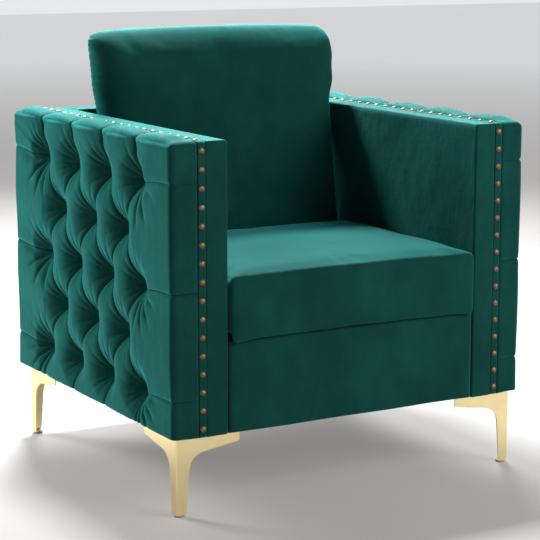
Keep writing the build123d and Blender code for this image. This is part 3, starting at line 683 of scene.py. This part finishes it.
def fold_seams(y, z):
    """The narrow creases along the folds."""
    u, v = (y - first_y) / pitch_y, (z - first_z) / pitch_z
    past_y, past_z = beyond_tufts(y, z)
    slant = math.hypot(1 / pitch_y, 1 / pitch_z)
    off = [np.abs(share - np.round(share)) for share in (u - v, u + v, v, u)]
    middle = np.minimum(off[0], off[1]) / slant
    distance = np.where(past_y > 0, off[2] * pitch_z, np.where(past_z > 0, off[3] * pitch_y, middle))
    corner = np.minimum(np.abs(past_y), np.abs(past_z))
    distance = np.where((past_y > 0) & (past_z > 0), corner, distance)
    second = np.abs((v - np.round(v)) * pitch_z + PLEAT)
    second = PLEAT_SHARE * np.exp(-second / SEAM_WIDTH)
    second = second * soft_step(past_y, 0.0, PLEAT_START) * (past_z < PLEAT_TOP)
    at_end = soft_step(past_y, 0.0, SLOT_START)
    slot = at_end * (past_z < 0) * np.exp(-((off[2] * pitch_z / SLOT_WIDTH) ** 2))
    seam = np.exp(-distance / SEAM_WIDTH) * (1 - 0.7 * at_end * (past_z < 0))
    return SEAM_DEPTH * (seam + second * soft_step(past_y, *PLEAT_FADE)) + SLOT_DEPTH * slot


def climb(y, z):
    """How far the cloth is drawn up beyond the end columns, where the straight folds climb."""
    past_y, _ = beyond_tufts(y, z)
    inside = soft_step(z, arm_base + 5 * MM, first_z) * soft_step(z, arm_top - 10 * MM, last_z)
    return END_RISE * inside * soft_step(past_y, 0.0, RISE_REACH)


def tuck(sharp):
    """The curved crease under the top edge of the front, where the cloth from the top is tucked in."""
    share = (arm_outside - sharp[:, 0]) / (arm_outside - band_out)
    line = arm_top - TUCK_DROP * (0.75 + 0.5 * np.sin(math.pi * share))
    depth = TUCK_DEPTH * np.exp(-np.abs(sharp[:, 2] - line) / TUCK_WIDTH) * soft_step(share, 0.9, 0.5)
    return np.where(sharp[:, 1] < arm_front + HAIR, depth, 0.0)


print("creases ready")

# %% Build both tufted pads
NET = 24  # cells from a tuft to the next column or row
EDGE_STEP = 3.4 * MM
SIDE_ROUND, TOP_ROUND, END_ROUND, HEM_ROUND, BAND_ROUND = 14 * MM, 15 * MM, 13 * MM, 3 * MM, 1.0 * MM
DEEPEST = 34.5 * MM  # the board is close behind
TOP_CROWN = 10.5 * MM  # the pillows stand up along the top, which half hides the nails
CROWN_FADE = 4 * MM, 55 * MM  # from the arm's ends, where that starts and where it is full
SEAM_END = 4 * MM  # the narrow creases fade out over this much at the nail band
SLACK = 1.2 * MM  # unevenness of the cloth
BAND_HOLD = 0.9  # share of the depth that the nail band holds flat


def split_along_folds(points, faces):
    """Quads of the tufted side as pairs of triangles, whose shared edge runs along the nearest fold."""
    on_side = (points[faces][:, :, 0] > arm_outside - HAIR).all(1)
    middle = points[faces].mean(1)
    u, v = (middle[:, 1] - first_y) / pitch_y, (middle[:, 2] - first_z) / pitch_z
    rising, falling = (np.abs(share - np.round(share)) for share in (u - v, u + v))
    result, origin = [], []
    for number, (a, b, c, d) in enumerate(faces.tolist()):
        if not on_side[number]:
            result.append((a, b, c, d))
        elif rising[number] < falling[number]:
            result += [(a, b, c), (a, c, d)]
        else:
            result += [(a, b, d), (b, c, d)]
        origin += [number] * (len(result) - len(origin))
    return result, origin


def unrolled(sharp):
    """Places of the points on the cloth laid flat, which goes on over the edges of the side."""
    over = arm_outside - sharp[:, 0]
    y, z = sharp[:, 1].copy(), sharp[:, 2].copy()
    y -= np.where(sharp[:, 1] < arm_front + HAIR, over, 0.0)
    y += np.where(sharp[:, 1] > arm_back - HAIR, over, 0.0)
    z += np.where(sharp[:, 2] > arm_top - HAIR, over, 0.0)
    z -= np.where(sharp[:, 2] < arm_base + HAIR, over, 0.0)
    return y, z, over


def tufted_pad(side, name, node, seed):
    """The tufted cloth over one arm's side, top and front, closed against its board."""
    xs = evenly(band_out, board_face, arm_outside, step=EDGE_STEP)
    ys = joined_lines(
        evenly(arm_front, timber_front, first_y, step=EDGE_STEP),
        np.linspace(first_y, last_y, 2 * NET * (TUFT_COLUMNS - 1) + 1),
        evenly(last_y, arm_back, step=EDGE_STEP),
    )
    zs = joined_lines(
        evenly(arm_base, first_z, step=EDGE_STEP),
        np.linspace(first_z, last_z, NET * (TUFT_ROWS - 1) + 1),
        evenly(last_z, timber_top, arm_top, step=EDGE_STEP),
    )
    ends = first_z + pitch_z * np.arange((TUFT_ROWS + 1) // 2)
    zs = np.unique(np.concatenate([zs, ends - 1.5 * SLOT_WIDTH, ends + 1.5 * SLOT_WIDTH]))
    arm_core = ((-FAR, timber_front, -FAR), (board_face, FAR, timber_top))
    sharp, faces, hidden = block_skin(xs, ys, zs, [arm_core])
    points, outward = round_edges(
        sharp, (BAND_ROUND, END_ROUND, HEM_ROUND), (SIDE_ROUND, END_ROUND, TOP_ROUND)
    )
    y, z, over = unrolled(sharp)
    bulge = pillows(y, z)
    depth = fold_depths(y, z) * (1 - bulge) + funnels(y, z)
    depth += (gathers(y, z, seed) + pulls(y, z, seed + 2)) * soft_step(bulge, 0.0, 0.2)
    depth += SLACK * (1 + ripple(points, (0.21, 0.13), seed + 1))
    rim = arm_outside - band_out
    at_band = soft_step(over, 0.4 * rim, rim)
    seams = fold_seams(y, z) * soft_step(over, rim, rim - SEAM_END)
    depth = depth * (1 - BAND_HOLD * at_band) + seams + tuck(sharp)
    depth = np.minimum(depth, DEEPEST)
    crown = np.sin(math.pi * np.clip(over / rim, 0, 1))
    crown *= TOP_CROWN * bulge * soft_step(outward[:, 2], 0.5, 1.0)
    crown *= soft_step(np.minimum(sharp[:, 1] - arm_front, arm_back - sharp[:, 1]), *CROWN_FADE)
    points = points - outward * (depth - crown)[:, None]
    points[:, 2] += climb(y, z)
    faces, origin = split_along_folds(sharp, faces)
    points[:, 0] *= side
    pad = new_piece(name, points, faces, velvet)
    merge_hidden(pad, hidden[origin])
    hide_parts(node)
    return pad


for side, word, seed in ((1, "right", 11), (-1, "left", 23)):
    pad = tufted_pad(side, f"{word}_tufted_arm", f"{word}_outer_arm_pad", seed)
    print(pad.name, triangles(pad), "triangles")

# %% [markdown]
# ## Plain inner arms, front border and back
#
# Inside, the cloth is plain: it runs up from the deck, over the top and round the front to the nail band. Plain
# stretched pads are blocks with their edges rounded and with a very slight unevenness, because a surface that
# is perfectly flat would show no pile. The back pad leans, so its front face is moved back as it rises.

# %% Build the inner arms
STEP, EDGE, MARGIN = 8 * MM, 2.6 * MM, 12 * MM
arm_lines = (
    evenly(arm_inside, liner_face, band_in, step=EDGE),
    joined_lines(
        evenly(arm_front, timber_front, step=EDGE),
        evenly(timber_front, liner_rear, step=STEP),
        evenly(liner_rear, arm_back, step=2 * EDGE),
    ),
    joined_lines(
        evenly(arm_base, arm_base + MARGIN, step=EDGE),
        evenly(arm_base + MARGIN, liner_foot, timber_top - MARGIN, step=STEP),
        evenly(timber_top - MARGIN, timber_top, arm_top, step=EDGE),
    ),
)
arm_cuts = (
    ((liner_face, timber_front, -FAR), (FAR, FAR, timber_top)),
    ((-FAR, liner_rear, -FAR), (FAR, FAR, timber_top)),
    ((-FAR, timber_front, -FAR), (FAR, FAR, liner_foot)),
)
ARM_ROUNDS = (4.5 * MM, 4.5 * MM, 4 * MM), (1.0 * MM, 9 * MM, 10 * MM)
ARM_UNEVENNESS, BAND_UNEVENNESS = 0.6 * MM, 0.3 * MM
for side, word, seed in ((1, "right", 31), (-1, "left", 32)):
    arm = f"{word}_inner_arm", f"{word}_inner_arm_pad"
    plain_pad(*arm, arm_lines, arm_cuts, *ARM_ROUNDS, seed, side, unevenness=ARM_UNEVENNESS)

# %% Build the front border and the outside back
border_low, border_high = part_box("front_border")
border_lines = (
    evenly(border_low.x, border_high.x, step=STEP),
    evenly(border_low.y, border_high.y, step=EDGE),
    edge_lines(border_low.z, border_high.z, STEP, EDGE, MARGIN),
)
BORDER_ROUNDS = (2 * MM, 8 * MM, 4 * MM), (2 * MM, 2 * MM, 12 * MM)
plain_pad("front_border_pad", "front_border", border_lines, (), *BORDER_ROUNDS, 41)
panel_low, panel_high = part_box("outside_back_panel")
panel_lines = [
    evenly(panel_low[axis], panel_high[axis], step=step) for axis, step in enumerate((STEP, EDGE, STEP))
]
PANEL_ROUNDS = (3 * MM, 1 * MM, 3 * MM), (3 * MM, 4 * MM, 3 * MM)
plain_pad("outside_back", "outside_back_panel", panel_lines, (), *PANEL_ROUNDS, 43)

# %% Build the back pad
back_low, back_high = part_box("back_pad")
LEAN = math.asin(frame["joints"][1]["axis"][1])


def lean_back(points):
    """Move the front of the back pad back as it rises."""
    slope = (points[:, 2] - back_low.z) * math.tan(LEAN)
    share = np.clip((liner_rear - points[:, 1]) / (liner_rear - back_low.y), 0.0, None)
    return points + np.column_stack([np.zeros(len(points)), slope * share, np.zeros(len(points))])


back_lines = (
    evenly(back_low.x, back_high.x, step=STEP),
    evenly(back_low.y, liner_rear, back_high.y, step=5 * MM),
    joined_lines(
        evenly(back_low.z, timber_top - MARGIN, step=STEP),
        evenly(timber_top - MARGIN, timber_top, back_high.z, step=EDGE),
    ),
)
back_cuts = [((-FAR, liner_rear, -FAR), (FAR, FAR, timber_top))]
BACK_ROUNDS = (2 * MM, 18 * MM, 2 * MM), (2 * MM, 9 * MM, 16 * MM)
plain_pad("back_rest_pad", "back_pad", back_lines, back_cuts, *BACK_ROUNDS, 42, bend=lean_back)

# %% [markdown]
# ## Nail bands and nailheads
#
# Between the tufted and the plain cloth runs a narrow band, a little lower than both, which the nails go
# through. A nailhead is a shallow dome on a short skirt. It is modelled once, from half a sphere, and copied to
# every place; each copy is turned and tipped a little, as hand-driven nails are.

# %% Build the nail bands
band_low, band_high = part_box("right_nail_band")
BAND_PUFF = 1.6 * MM  # the band's cloth stands up a little between the nails
band_lines = (
    evenly(band_low.x, band_high.x, step=EDGE),
    joined_lines(
        evenly(band_low.y - BAND_PUFF, timber_front, step=EDGE), evenly(timber_front, band_high.y, step=STEP)
    ),
    joined_lines(
        evenly(band_low.z, timber_top, step=STEP), evenly(timber_top, band_high.z + BAND_PUFF, step=EDGE)
    ),
)
band_cuts = [((-FAR, timber_front, -FAR), (FAR, FAR, timber_top))]
BAND_ROUNDS = (0.0, 9 * MM, 4 * MM), (0.0, 6 * MM, 10 * MM)
for side, word, seed in ((1, "right", 51), (-1, "left", 52)):
    band = f"{word}_trim_band", f"{word}_nail_band"
    plain_pad(*band, band_lines, band_cuts, *BAND_ROUNDS, seed, side, unevenness=BAND_UNEVENNESS)

# %% Model one nailhead
NAIL_RADIUS, NAIL_RISE, NAIL_SKIRT = 6.5 * MM, 4.5 * MM, 1.2 * MM
NAIL_RIM = 0.1 * MM  # points this near the base belong to the rim


def select_by(piece, test):
    """In edit mode, select the points that pass a test, and the edges and faces between them."""
    mesh = bmesh.from_edit_mesh(piece.data)
    for vert in mesh.verts:
        vert.select = bool(test(vert.co))
    mesh.select_flush_mode()
    bmesh.update_edit_mesh(piece.data)


def nailhead():
    """A domed head with a skirt that goes into the cloth, pointing up, its base at the origin."""
    bpy.ops.object.select_all(action="DESELECT")
    bpy.ops.mesh.primitive_uv_sphere_add(segments=18, ring_count=10, radius=NAIL_RADIUS)
    nail = bpy.context.object
    bpy.ops.object.mode_set(mode="EDIT")
    bpy.ops.mesh.select_mode(type="VERT")
    select_by(nail, lambda co: co.z < -NAIL_RIM)
    bpy.ops.mesh.delete(type="VERT")
    bpy.ops.mesh.select_all(action="SELECT")
    bpy.ops.transform.resize(value=(1.0, 1.0, NAIL_RISE / NAIL_RADIUS))
    select_by(nail, lambda co: co.z < NAIL_RIM)
    bpy.ops.mesh.extrude_region_move(TRANSFORM_OT_translate={"value": (0.0, 0.0, -NAIL_SKIRT)})
    bpy.ops.mesh.edge_face_add()
    bpy.ops.mesh.select_all(action="SELECT")
    bpy.ops.mesh.normals_make_consistent(inside=False)
    bpy.ops.object.mode_set(mode="OBJECT")
    bpy.ops.object.shade_smooth_by_angle(angle=math.radians(50))
    return nail


nail = nailhead()
print("nailhead:", len(nail.data.polygons), "faces, height", round(nail.dimensions.z, 5))

# %% Set the nailheads in rows
NAIL_SPACING = 35 * MM
NAIL_TIP = math.radians(2.5)  # how far a nail may lean
NAIL_SINK = 0.8 * MM  # how far the bases of the top rows lie under the CAD band's top
nail_line = (band_in + band_out) / 2


def nail_places(node, axis):
    """Middles of a CAD row of nails along an axis, from the row's box and the spacing."""
    low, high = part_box(node)
    start, end = low[axis] + NAIL_RADIUS, high[axis] - NAIL_RADIUS
    return np.linspace(start, end, round((end - start) / NAIL_SPACING) + 1)


def nail_row(name, node, places, upright, seed):
    """One joined piece of nailheads that replaces a CAD row."""
    random = np.random.default_rng(seed)
    copies = []
    for place in places:
        copy = nail.copy()
        copy.data = nail.data.copy()
        scene.collection.objects.link(copy)
        spin, way = random.uniform(0, 2 * math.pi, 2)
        tip = random.normal(0, NAIL_TIP)
        lean = Matrix.Rotation(tip, 4, Vector((math.cos(way), math.sin(way), 0.0)))
        copy.data.transform(Matrix.Translation(place) @ upright @ lean @ Matrix.Rotation(spin, 4, "Z"))
        copies.append(copy)
    bpy.ops.object.select_all(action="DESELECT")
    for copy in copies:
        copy.select_set(True)
    bpy.context.view_layer.objects.active = copies[0]
    bpy.ops.object.join()
    row = bpy.context.object
    row.name = row.data.name = name
    row.data.materials.clear()
    row.data.materials.append(brass)
    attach(row, "frame")
    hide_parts(node)
    print(name, len(copies), "nails")


FACE_FRONT, FACE_UP = Matrix.Rotation(math.pi / 2, 4, "X"), Matrix.Identity(4)
for side, word, seed in ((1, "right", 61), (-1, "left", 71)):
    x = side * nail_line
    fronts = [Vector((x, band_low.y, z)) for z in nail_places(f"{word}_front_nails", 2)]
    nail_row(f"{word}_front_nailheads", f"{word}_front_nails", fronts, FACE_FRONT, seed)
    tops = [Vector((x, y, band_high.z - NAIL_SINK)) for y in nail_places(f"{word}_top_nails", 1)]
    nail_row(f"{word}_top_nailheads", f"{word}_top_nails", tops, FACE_UP, seed + 1)
bpy.data.objects.remove(nail)

# %% [markdown]
# ## Loose cushions
#
# The seat cushion is a box: a top, a bottom and a band between them. The back cushion is one panel that runs
# up the front, over a broad round top and down the back, with a puckered seam up each side. Both are stuffed
# tight. Their skins are blocks again, and a short cloth simulation with air pressure inside lets them swell as
# sewn cloth does: fully in the middle of a panel and little at the seams. What each point moved is capped. The
# seams come after the swelling, as a fine groove with puckers; each point remembers its distance to the
# nearest seam and its place along it in two attributes. Then the skin is stretched to fill its space between
# the arms, the front of the seat cushion hangs over the border, and the back cushion widens over the arms.

# %% Helpers for the cushions
CUSHION_LINES = 10 * MM, 4 * MM, 16 * MM  # steps of a cushion's lines, steps near its seams, and how near
FOOT_SLACK = 1 * MM  # the blocks start this much off what they rest on
GROOVE_WIDTH = 2.4 * MM
DRIFT = (2.2, 0.131), (1.3, 0.057)  # how unevenly puckers follow each other: turns and wavelengths


def triples(items, key):
    """Three numbers of each item as an array."""
    flat = np.empty(len(items) * 3)
    items.foreach_get(key, flat)
    return flat.reshape(-1, 3)


def coordinates(piece):
    """A piece's points as an array."""
    return triples(piece.data.vertices, "co")


def set_coordinates(piece, points):
    """Move a piece's points to an array."""
    piece.data.vertices.foreach_set("co", np.ascontiguousarray(points).ravel())
    piece.data.update()


def remember(piece, name, values):
    """Keep one number for each point, which subdivision carries along."""
    piece.data.attributes.new(name, "FLOAT", "POINT").data.foreach_set("value", values)


def recall(piece, name):
    """The numbers that the points kept, which are then forgotten."""
    attribute = piece.data.attributes[name]
    values = np.empty(len(piece.data.vertices))
    attribute.data.foreach_get("value", values)
    piece.data.attributes.remove(attribute)
    return values


def make_active(piece):
    """Select only this piece and make it active."""
    bpy.ops.object.select_all(action="DESELECT")
    piece.select_set(True)
    bpy.context.view_layer.objects.active = piece


def inflate(piece, pressure, cap, frames=20):
    """Blow a cushion up with a cloth simulation; no point moves by more than the cap."""
    start = coordinates(piece)
    make_active(piece)
    bpy.ops.object.modifier_add(type="CLOTH")
    cloth = piece.modifiers["Cloth"]
    cloth.settings.quality = 6
    cloth.settings.use_pressure = True
    cloth.settings.uniform_pressure_force = pressure
    cloth.settings.effector_weights.gravity = 0.0
    cloth.collision_settings.use_collision = False
    cloth.point_cache.frame_end = frames
    for number in range(1, frames + 1):
        scene.frame_set(number)
    bpy.ops.object.modifier_apply(modifier="Cloth")
    scene.frame_set(1)
    move = coordinates(piece) - start
    length = np.linalg.norm(move, axis=1, keepdims=True)
    set_coordinates(piece, start + move * np.minimum(1.0, cap / np.maximum(length, TINY)))
    print(piece.name, "swelled by up to", round(float(length.max()), 4), "before the cap")


def apply_modifier(piece, kind, **settings):
    """Add a modifier with its settings, and apply it."""
    make_active(piece)
    bpy.ops.object.modifier_add(type=kind)
    modifier = piece.modifiers[-1]
    for key, value in settings.items():
        setattr(modifier, key, value)
    bpy.ops.object.modifier_apply(modifier=modifier.name)


def fill_space(points, low, high):
    """Stretch a swollen cushion so that it fills its space again, from side to side."""
    least, most = points.min(0), points.max(0)
    return low + (points - least) * (high - low) / (most - least)


def sew(piece, groove, pucker, wave, reach=11 * MM):
    """Press the seam groove and its puckers into a cushion."""
    seam, path = recall(piece, "seam"), recall(piece, "path")
    drift = sum(turns * np.sin(path * 2 * math.pi / length) for turns, length in DRIFT)
    gathered = 0.5 + 0.5 * np.sin(path * 2 * math.pi / wave + drift)
    depth = groove * np.exp(-((seam / GROOVE_WIDTH) ** 2)) + pucker * gathered * np.exp(-seam / reach)
    outward = triples(piece.data.vertex_normals, "vector")
    set_coordinates(piece, coordinates(piece) - outward * depth[:, None])


print("cushion helpers ready")

# %% Make the seat cushion
seat_low, seat_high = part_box("seat_cushion_cover")
SEAT_EDGE = 458 * MM  # height of the cushion's top edge over the floor
SEAT_SLACK = 3 * MM  # the block starts this much smaller
SEAT_CROWN = 14 * MM  # how far the block is already crowned
SEAT_LIP, LIP_DEPTH = 21 * MM, 9.2 * MM  # the front hangs over the border by so much, and is so thick there
SEAT_ROUNDS = (12 * MM, 8 * MM, 12 * MM), (12 * MM, 14 * MM, 15 * MM)
SEAT_SWELL = 4.0, 9 * MM  # air pressure, and the most that a point moves
SEAT_STITCH = 0.35 * MM, 0.3 * MM, 17 * MM  # depth of the groove, depth and spacing of the puckers
SEAT_ROOM = np.array([0.4 * MM, 0.4 * MM, 0.2 * MM])  # left clear all round


def seat_block():
    """The sharp block of the seat cushion, its faces, and each point's seam distance and path."""
    xs = edge_lines(seat_low.x + SEAT_SLACK, seat_high.x - SEAT_SLACK, *CUSHION_LINES)
    ys = edge_lines(seat_low.y + SEAT_SLACK, seat_high.y - SEAT_SLACK, *CUSHION_LINES)
    zs = edge_lines(seat_low.z + FOOT_SLACK, SEAT_EDGE, *CUSHION_LINES)
    sharp, faces, _ = block_skin(xs, ys, zs)
    low, high = sharp.min(0), sharp.max(0)
    to_side = np.minimum(sharp - low, high - sharp)
    level = to_side[:, 2]
    in_plan = np.minimum(to_side[:, 0], to_side[:, 1])
    path = np.where(to_side[:, 0] < to_side[:, 1], sharp[:, 1], sharp[:, 0])
    return sharp, faces, np.maximum(level, in_plan), path


def hang_over(points):
    """Draw the front of the seat cushion down over the border."""
    ahead = soft_step(points[:, 1], seat_low.y + LIP_DEPTH, seat_low.y + 0.3 * LIP_DEPTH)
    low = 1 - np.clip((points[:, 2] - seat_low.z) / (SEAT_EDGE - seat_low.z), 0, 1)
    points[:, 2] -= SEAT_LIP * ahead * low
    return points


def seat_cushion():
    """The boxed seat cushion, swollen and seamed."""
    sharp, faces, seam, path = seat_block()
    points, _ = round_edges(sharp, *SEAT_ROUNDS)
    across = np.clip(1 - (points[:, 0] / seat_high.x) ** 2, 0, 1)
    share = (points[:, 1] - seat_low.y) / (seat_high.y - seat_low.y)
    along = np.clip(4 * share * (1 - share), 0, 1)
    height = np.clip((points[:, 2] - seat_low.z) / (SEAT_EDGE - seat_low.z), 0, 1)
    points[:, 2] += SEAT_CROWN * height * (0.35 * along + 0.2 * across + 0.45 * across * along)
    cushion = new_piece("seat_cushion", points, faces, velvet, body="seat_cushion")
    remember(cushion, "seam", seam)
    remember(cushion, "path", path)
    inflate(cushion, *SEAT_SWELL)
    apply_modifier(cushion, "SUBSURF", levels=1, render_levels=1)
    sew(cushion, *SEAT_STITCH)
    low, high = np.array(seat_low) + SEAT_ROOM, np.array(seat_high) - SEAT_ROOM
    set_coordinates(cushion, hang_over(fill_space(coordinates(cushion), low, high)))
    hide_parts("seat_cushion_cover", "seat_cushion_core")
    return cushion


seat = seat_cushion()
print("seat cushion:", triangles(seat), "triangles, top", round(coordinates(seat)[:, 2].max(), 4))

# %% Make the back cushion
rest_low, rest_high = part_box("back_cushion_cover")
FOOT_Y, FOOT_Z = back_low.y - 0.3 * MM, rest_low.z  # the cushion's back edge on the deck
BACK_THICK, BACK_TALL, BACK_ROUND, BACK_CORNER = 152 * MM, 545 * MM, 82 * MM, 28 * MM
BACK_SLACK = 4 * MM
BACK_ARCH = 10 * MM  # how far the middle of the top rises
BACK_CROWN = 17 * MM  # how far the front swells
BACK_CREST, CREST_EDGE = 66 * MM, 0.22  # where the top is highest, and the share of the thickness there
BACK_SEAM, BACK_TAPER = 85 * MM, 0.17  # where the side seams are, and how far the sides come in behind them
BACK_PUFF, BACK_SHIFT = 0.032, 4 * MM  # how much wider it gets over the arms, and how far off the middle
PUFF_START, PUFF_FULL = 6 * MM, 60 * MM  # over the arms, where that begins and where it is full
REST_ROUNDS = (44 * MM, 45 * MM, 10 * MM), (24 * MM, 56 * MM, 2 * MM)
REST_SWELL = 3.0, 7 * MM  # air pressure, and the most that a point moves
REST_STITCH = 1.2 * MM, 2.2 * MM, 12 * MM, 20 * MM  # as the seat's, and how far the puckers reach
REST_ROOM = 0.4 * MM  # left clear at the sides, the back and the foot
SEAT_GAP = 1.2 * MM  # from the seat cushion
SEAM_ZONE, TOP_ZONE = 18 * MM, 20 * MM  # where the lines are closer together, about the seams and at the top


def stand_up(points):
    """Local (x, thickness, height) points leaned against the back, with a flat foot on the deck."""
    thick, tall = points[:, 1], points[:, 2]
    foot = -thick * math.tan(LEAN)
    tall = foot + tall * (BACK_TALL - foot) / BACK_TALL
    y = FOOT_Y - thick * math.cos(LEAN) + tall * math.sin(LEAN)
    z = FOOT_Z + thick * math.sin(LEAN) + tall * math.cos(LEAN)
    return np.column_stack([points[:, 0], y, z])


def back_block():
    """The sharp block of the back cushion, its faces, and each point's seam distance and path."""
    xs = edge_lines(rest_low.x + BACK_SLACK, rest_high.x - BACK_SLACK, *CUSHION_LINES)
    ts = joined_lines(
        evenly(FOOT_SLACK, BACK_SEAM - SEAM_ZONE, step=9 * MM),
        evenly(BACK_SEAM - SEAM_ZONE, BACK_SEAM, BACK_SEAM + SEAM_ZONE, step=4.5 * MM),
        evenly(BACK_SEAM + SEAM_ZONE, BACK_THICK - BACK_SLACK, step=6 * MM),
    )
    top = BACK_TALL - BACK_ARCH - BACK_SLACK
    near_top = top - TOP_ZONE
    hs = joined_lines(evenly(FOOT_SLACK, near_top, step=7 * MM), evenly(near_top, top, step=3 * MM))
    sharp, faces, _ = block_skin(xs, ts, hs)
    to_side = np.minimum(sharp[:, 0] - sharp[:, 0].min(), sharp[:, 0].max() - sharp[:, 0])
    return sharp, faces, np.maximum(to_side, np.abs(sharp[:, 1] - BACK_SEAM)), sharp[:, 2]


def draw_in(points):
    """Draw the sides in behind their seams, and the top in to a round crest with round corners."""
    points[:, 0] *= 1 - BACK_TAPER * np.clip(1 - points[:, 1] / BACK_SEAM, 0, None)
    down = points[:, 2].max() - points[:, 2]
    round_top, round_corner = (
        np.sqrt(1 - np.clip(1 - down / size, 0, 1) ** 2) for size in (BACK_ROUND, BACK_CORNER)
    )
    left = CREST_EDGE + (1 - CREST_EDGE) * round_top
    points[:, 1] = BACK_CREST + (points[:, 1] - BACK_CREST) * left
    points[:, 0] *= 1 - BACK_CORNER / rest_high.x * (1 - round_corner)


def back_cushion():
    """The back cushion: one panel folded over the top, with a seam up each side."""
    sharp, faces, seam, path = back_block()
    points, _ = round_edges(sharp, *REST_ROUNDS)
    draw_in(points)
    across = np.clip(1 - (points[:, 0] / rest_high.x) ** 2, 0, 1)
    points[:, 2] += BACK_ARCH * np.sqrt(across) * soft_step(points[:, 2] / BACK_TALL, 0.5, 1.0)
    cushion = new_piece("back_cushion", points, faces, velvet, body="back_cushion")
    remember(cushion, "seam", seam)
    remember(cushion, "path", path)
    inflate(cushion, *REST_SWELL)
    apply_modifier(cushion, "SUBSURF", levels=1, render_levels=1)
    sew(cushion, *REST_STITCH)
    low = np.array([rest_low.x + REST_ROOM, REST_ROOM, REST_ROOM])
    high = np.array([rest_high.x - REST_ROOM, BACK_THICK + BACK_CROWN, BACK_TALL])
    points = stand_up(fill_space(coordinates(cushion), low, high))
    over_arms = soft_step(points[:, 2], arm_top + PUFF_START, arm_top + PUFF_FULL)
    points[:, 0] += over_arms * (BACK_PUFF * points[:, 0] + BACK_SHIFT)
    pressed_flat = seat_high.y + SEAT_GAP - np.clip(points[:, 2] - SEAT_EDGE, 0, None)
    points[:, 1] = np.maximum(points[:, 1], pressed_flat)
    set_coordinates(cushion, points)
    merge_hidden(cushion, [False] * len(cushion.data.polygons))
    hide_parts("back_cushion_cover", "back_cushion_core")
    return cushion


rest = back_cushion()
print("back cushion:", triangles(rest), "triangles, top", round(coordinates(rest)[:, 2].max(), 4))

# %% [markdown]
# ## Deck and dust cover
#
# Under the cushions a thin pad lies on the springs, with a lining cloth over it. Under the seat a black dust
# cover is stapled to the rails; its corners are cut off to clear the legs, and it hangs a few millimetres in
# the middle.

# %% Build the deck
deck_low, deck_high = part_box("deck_pad")
cloth_low, cloth_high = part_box("deck_cloth")
DECK_GRID, DECK_ROUND = 22 * MM, 5 * MM
CLOTH_UNDER, CLOTH_OVER = 0.1 * MM, 0.2 * MM  # left clear under and over the lining


def deck_pad():
    """The thin pad on the springs, with its edges rounded."""
    xs, ys = (evenly(deck_low[a], deck_high[a], step=DECK_GRID) for a in (0, 1))
    sharp, faces, _ = block_skin(xs, ys, evenly(deck_low.z, deck_high.z, step=5 * MM))
    points, _ = round_edges(sharp, (DECK_ROUND,) * 3, (DECK_ROUND,) * 3)
    pad = new_piece("deck_foam", points, faces, foam)
    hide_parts("deck_pad")
    return pad


def deck_sheet():
    """The lining over the deck pad, a thin flat cloth."""
    xs, ys = (evenly(cloth_low[a], cloth_high[a], step=DECK_GRID) for a in (0, 1))
    zs = np.array([cloth_low.z + CLOTH_UNDER, cloth_high.z - CLOTH_OVER])
    points, faces, _ = block_skin(xs, ys, zs)
    sheet = new_piece("deck_lining", points, faces, lining)
    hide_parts("deck_cloth")
    return sheet


print("made", deck_pad().name, "and", deck_sheet().name)

# %% Build the dust cover
COVER_FRONT_CUT, COVER_REAR_CUT, COVER_TAB = 100 * MM, 111 * MM, 17 * MM
COVER_SAG, COVER_THICK, COVER_GRID = 3 * MM, 0.8 * MM, 24 * MM
COVER_GAP = 0.1 * MM  # from the rails
cover_low, cover_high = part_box("dust_cover")


def cover_net():
    """The flat cover with its cut corners, divided into a net."""
    half, front, back = cover_high.x, cover_low.y, cover_high.y
    right = [
        (half - COVER_FRONT_CUT, front),
        (half, front + COVER_FRONT_CUT),
        (half, back - COVER_TAB - COVER_REAR_CUT),
        (half - COVER_REAR_CUT, back - COVER_TAB),
        (half - COVER_REAR_CUT, back),
    ]
    outline = right + [(-x, y) for x, y in reversed(right)]
    net = bmesh.new()
    net.faces.new([net.verts.new((x, y, cover_high.z - COVER_GAP)) for x, y in outline])
    for normal, reach in ((Vector((1, 0, 0)), half), (Vector((0, 1, 0)), back)):
        for place in np.arange(COVER_GRID - reach, reach, COVER_GRID):
            geometry = net.verts[:] + net.edges[:] + net.faces[:]
            bmesh.ops.bisect_plane(net, geom=geometry, plane_co=normal * float(place), plane_no=normal)
    return net


def dust_cover():
    """A black cloth with cut corners that sags in the middle."""
    net = cover_net()
    area = sum(face.calc_area() for face in net.faces)
    middle, reach = (cover_low + cover_high) / 2, (cover_high - cover_low) / 2
    for vert in net.verts:
        away = vert.co - middle
        vert.co.z -= COVER_SAG * (1 - (away.x / reach.x) ** 2) * (1 - (away.y / reach.y) ** 2)
    net.verts.index_update()
    points = [vert.co.copy() for vert in net.verts]
    faces = [[vert.index for vert in face.verts] for face in net.faces]
    net.free()
    cover = new_piece("dust_sheet", points, faces, lining)
    apply_modifier(cover, "SOLIDIFY", thickness=COVER_THICK, offset=-1.0)
    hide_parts("dust_cover")
    return cover


cover = dust_cover()
print(cover.name, triangles(cover), "triangles")
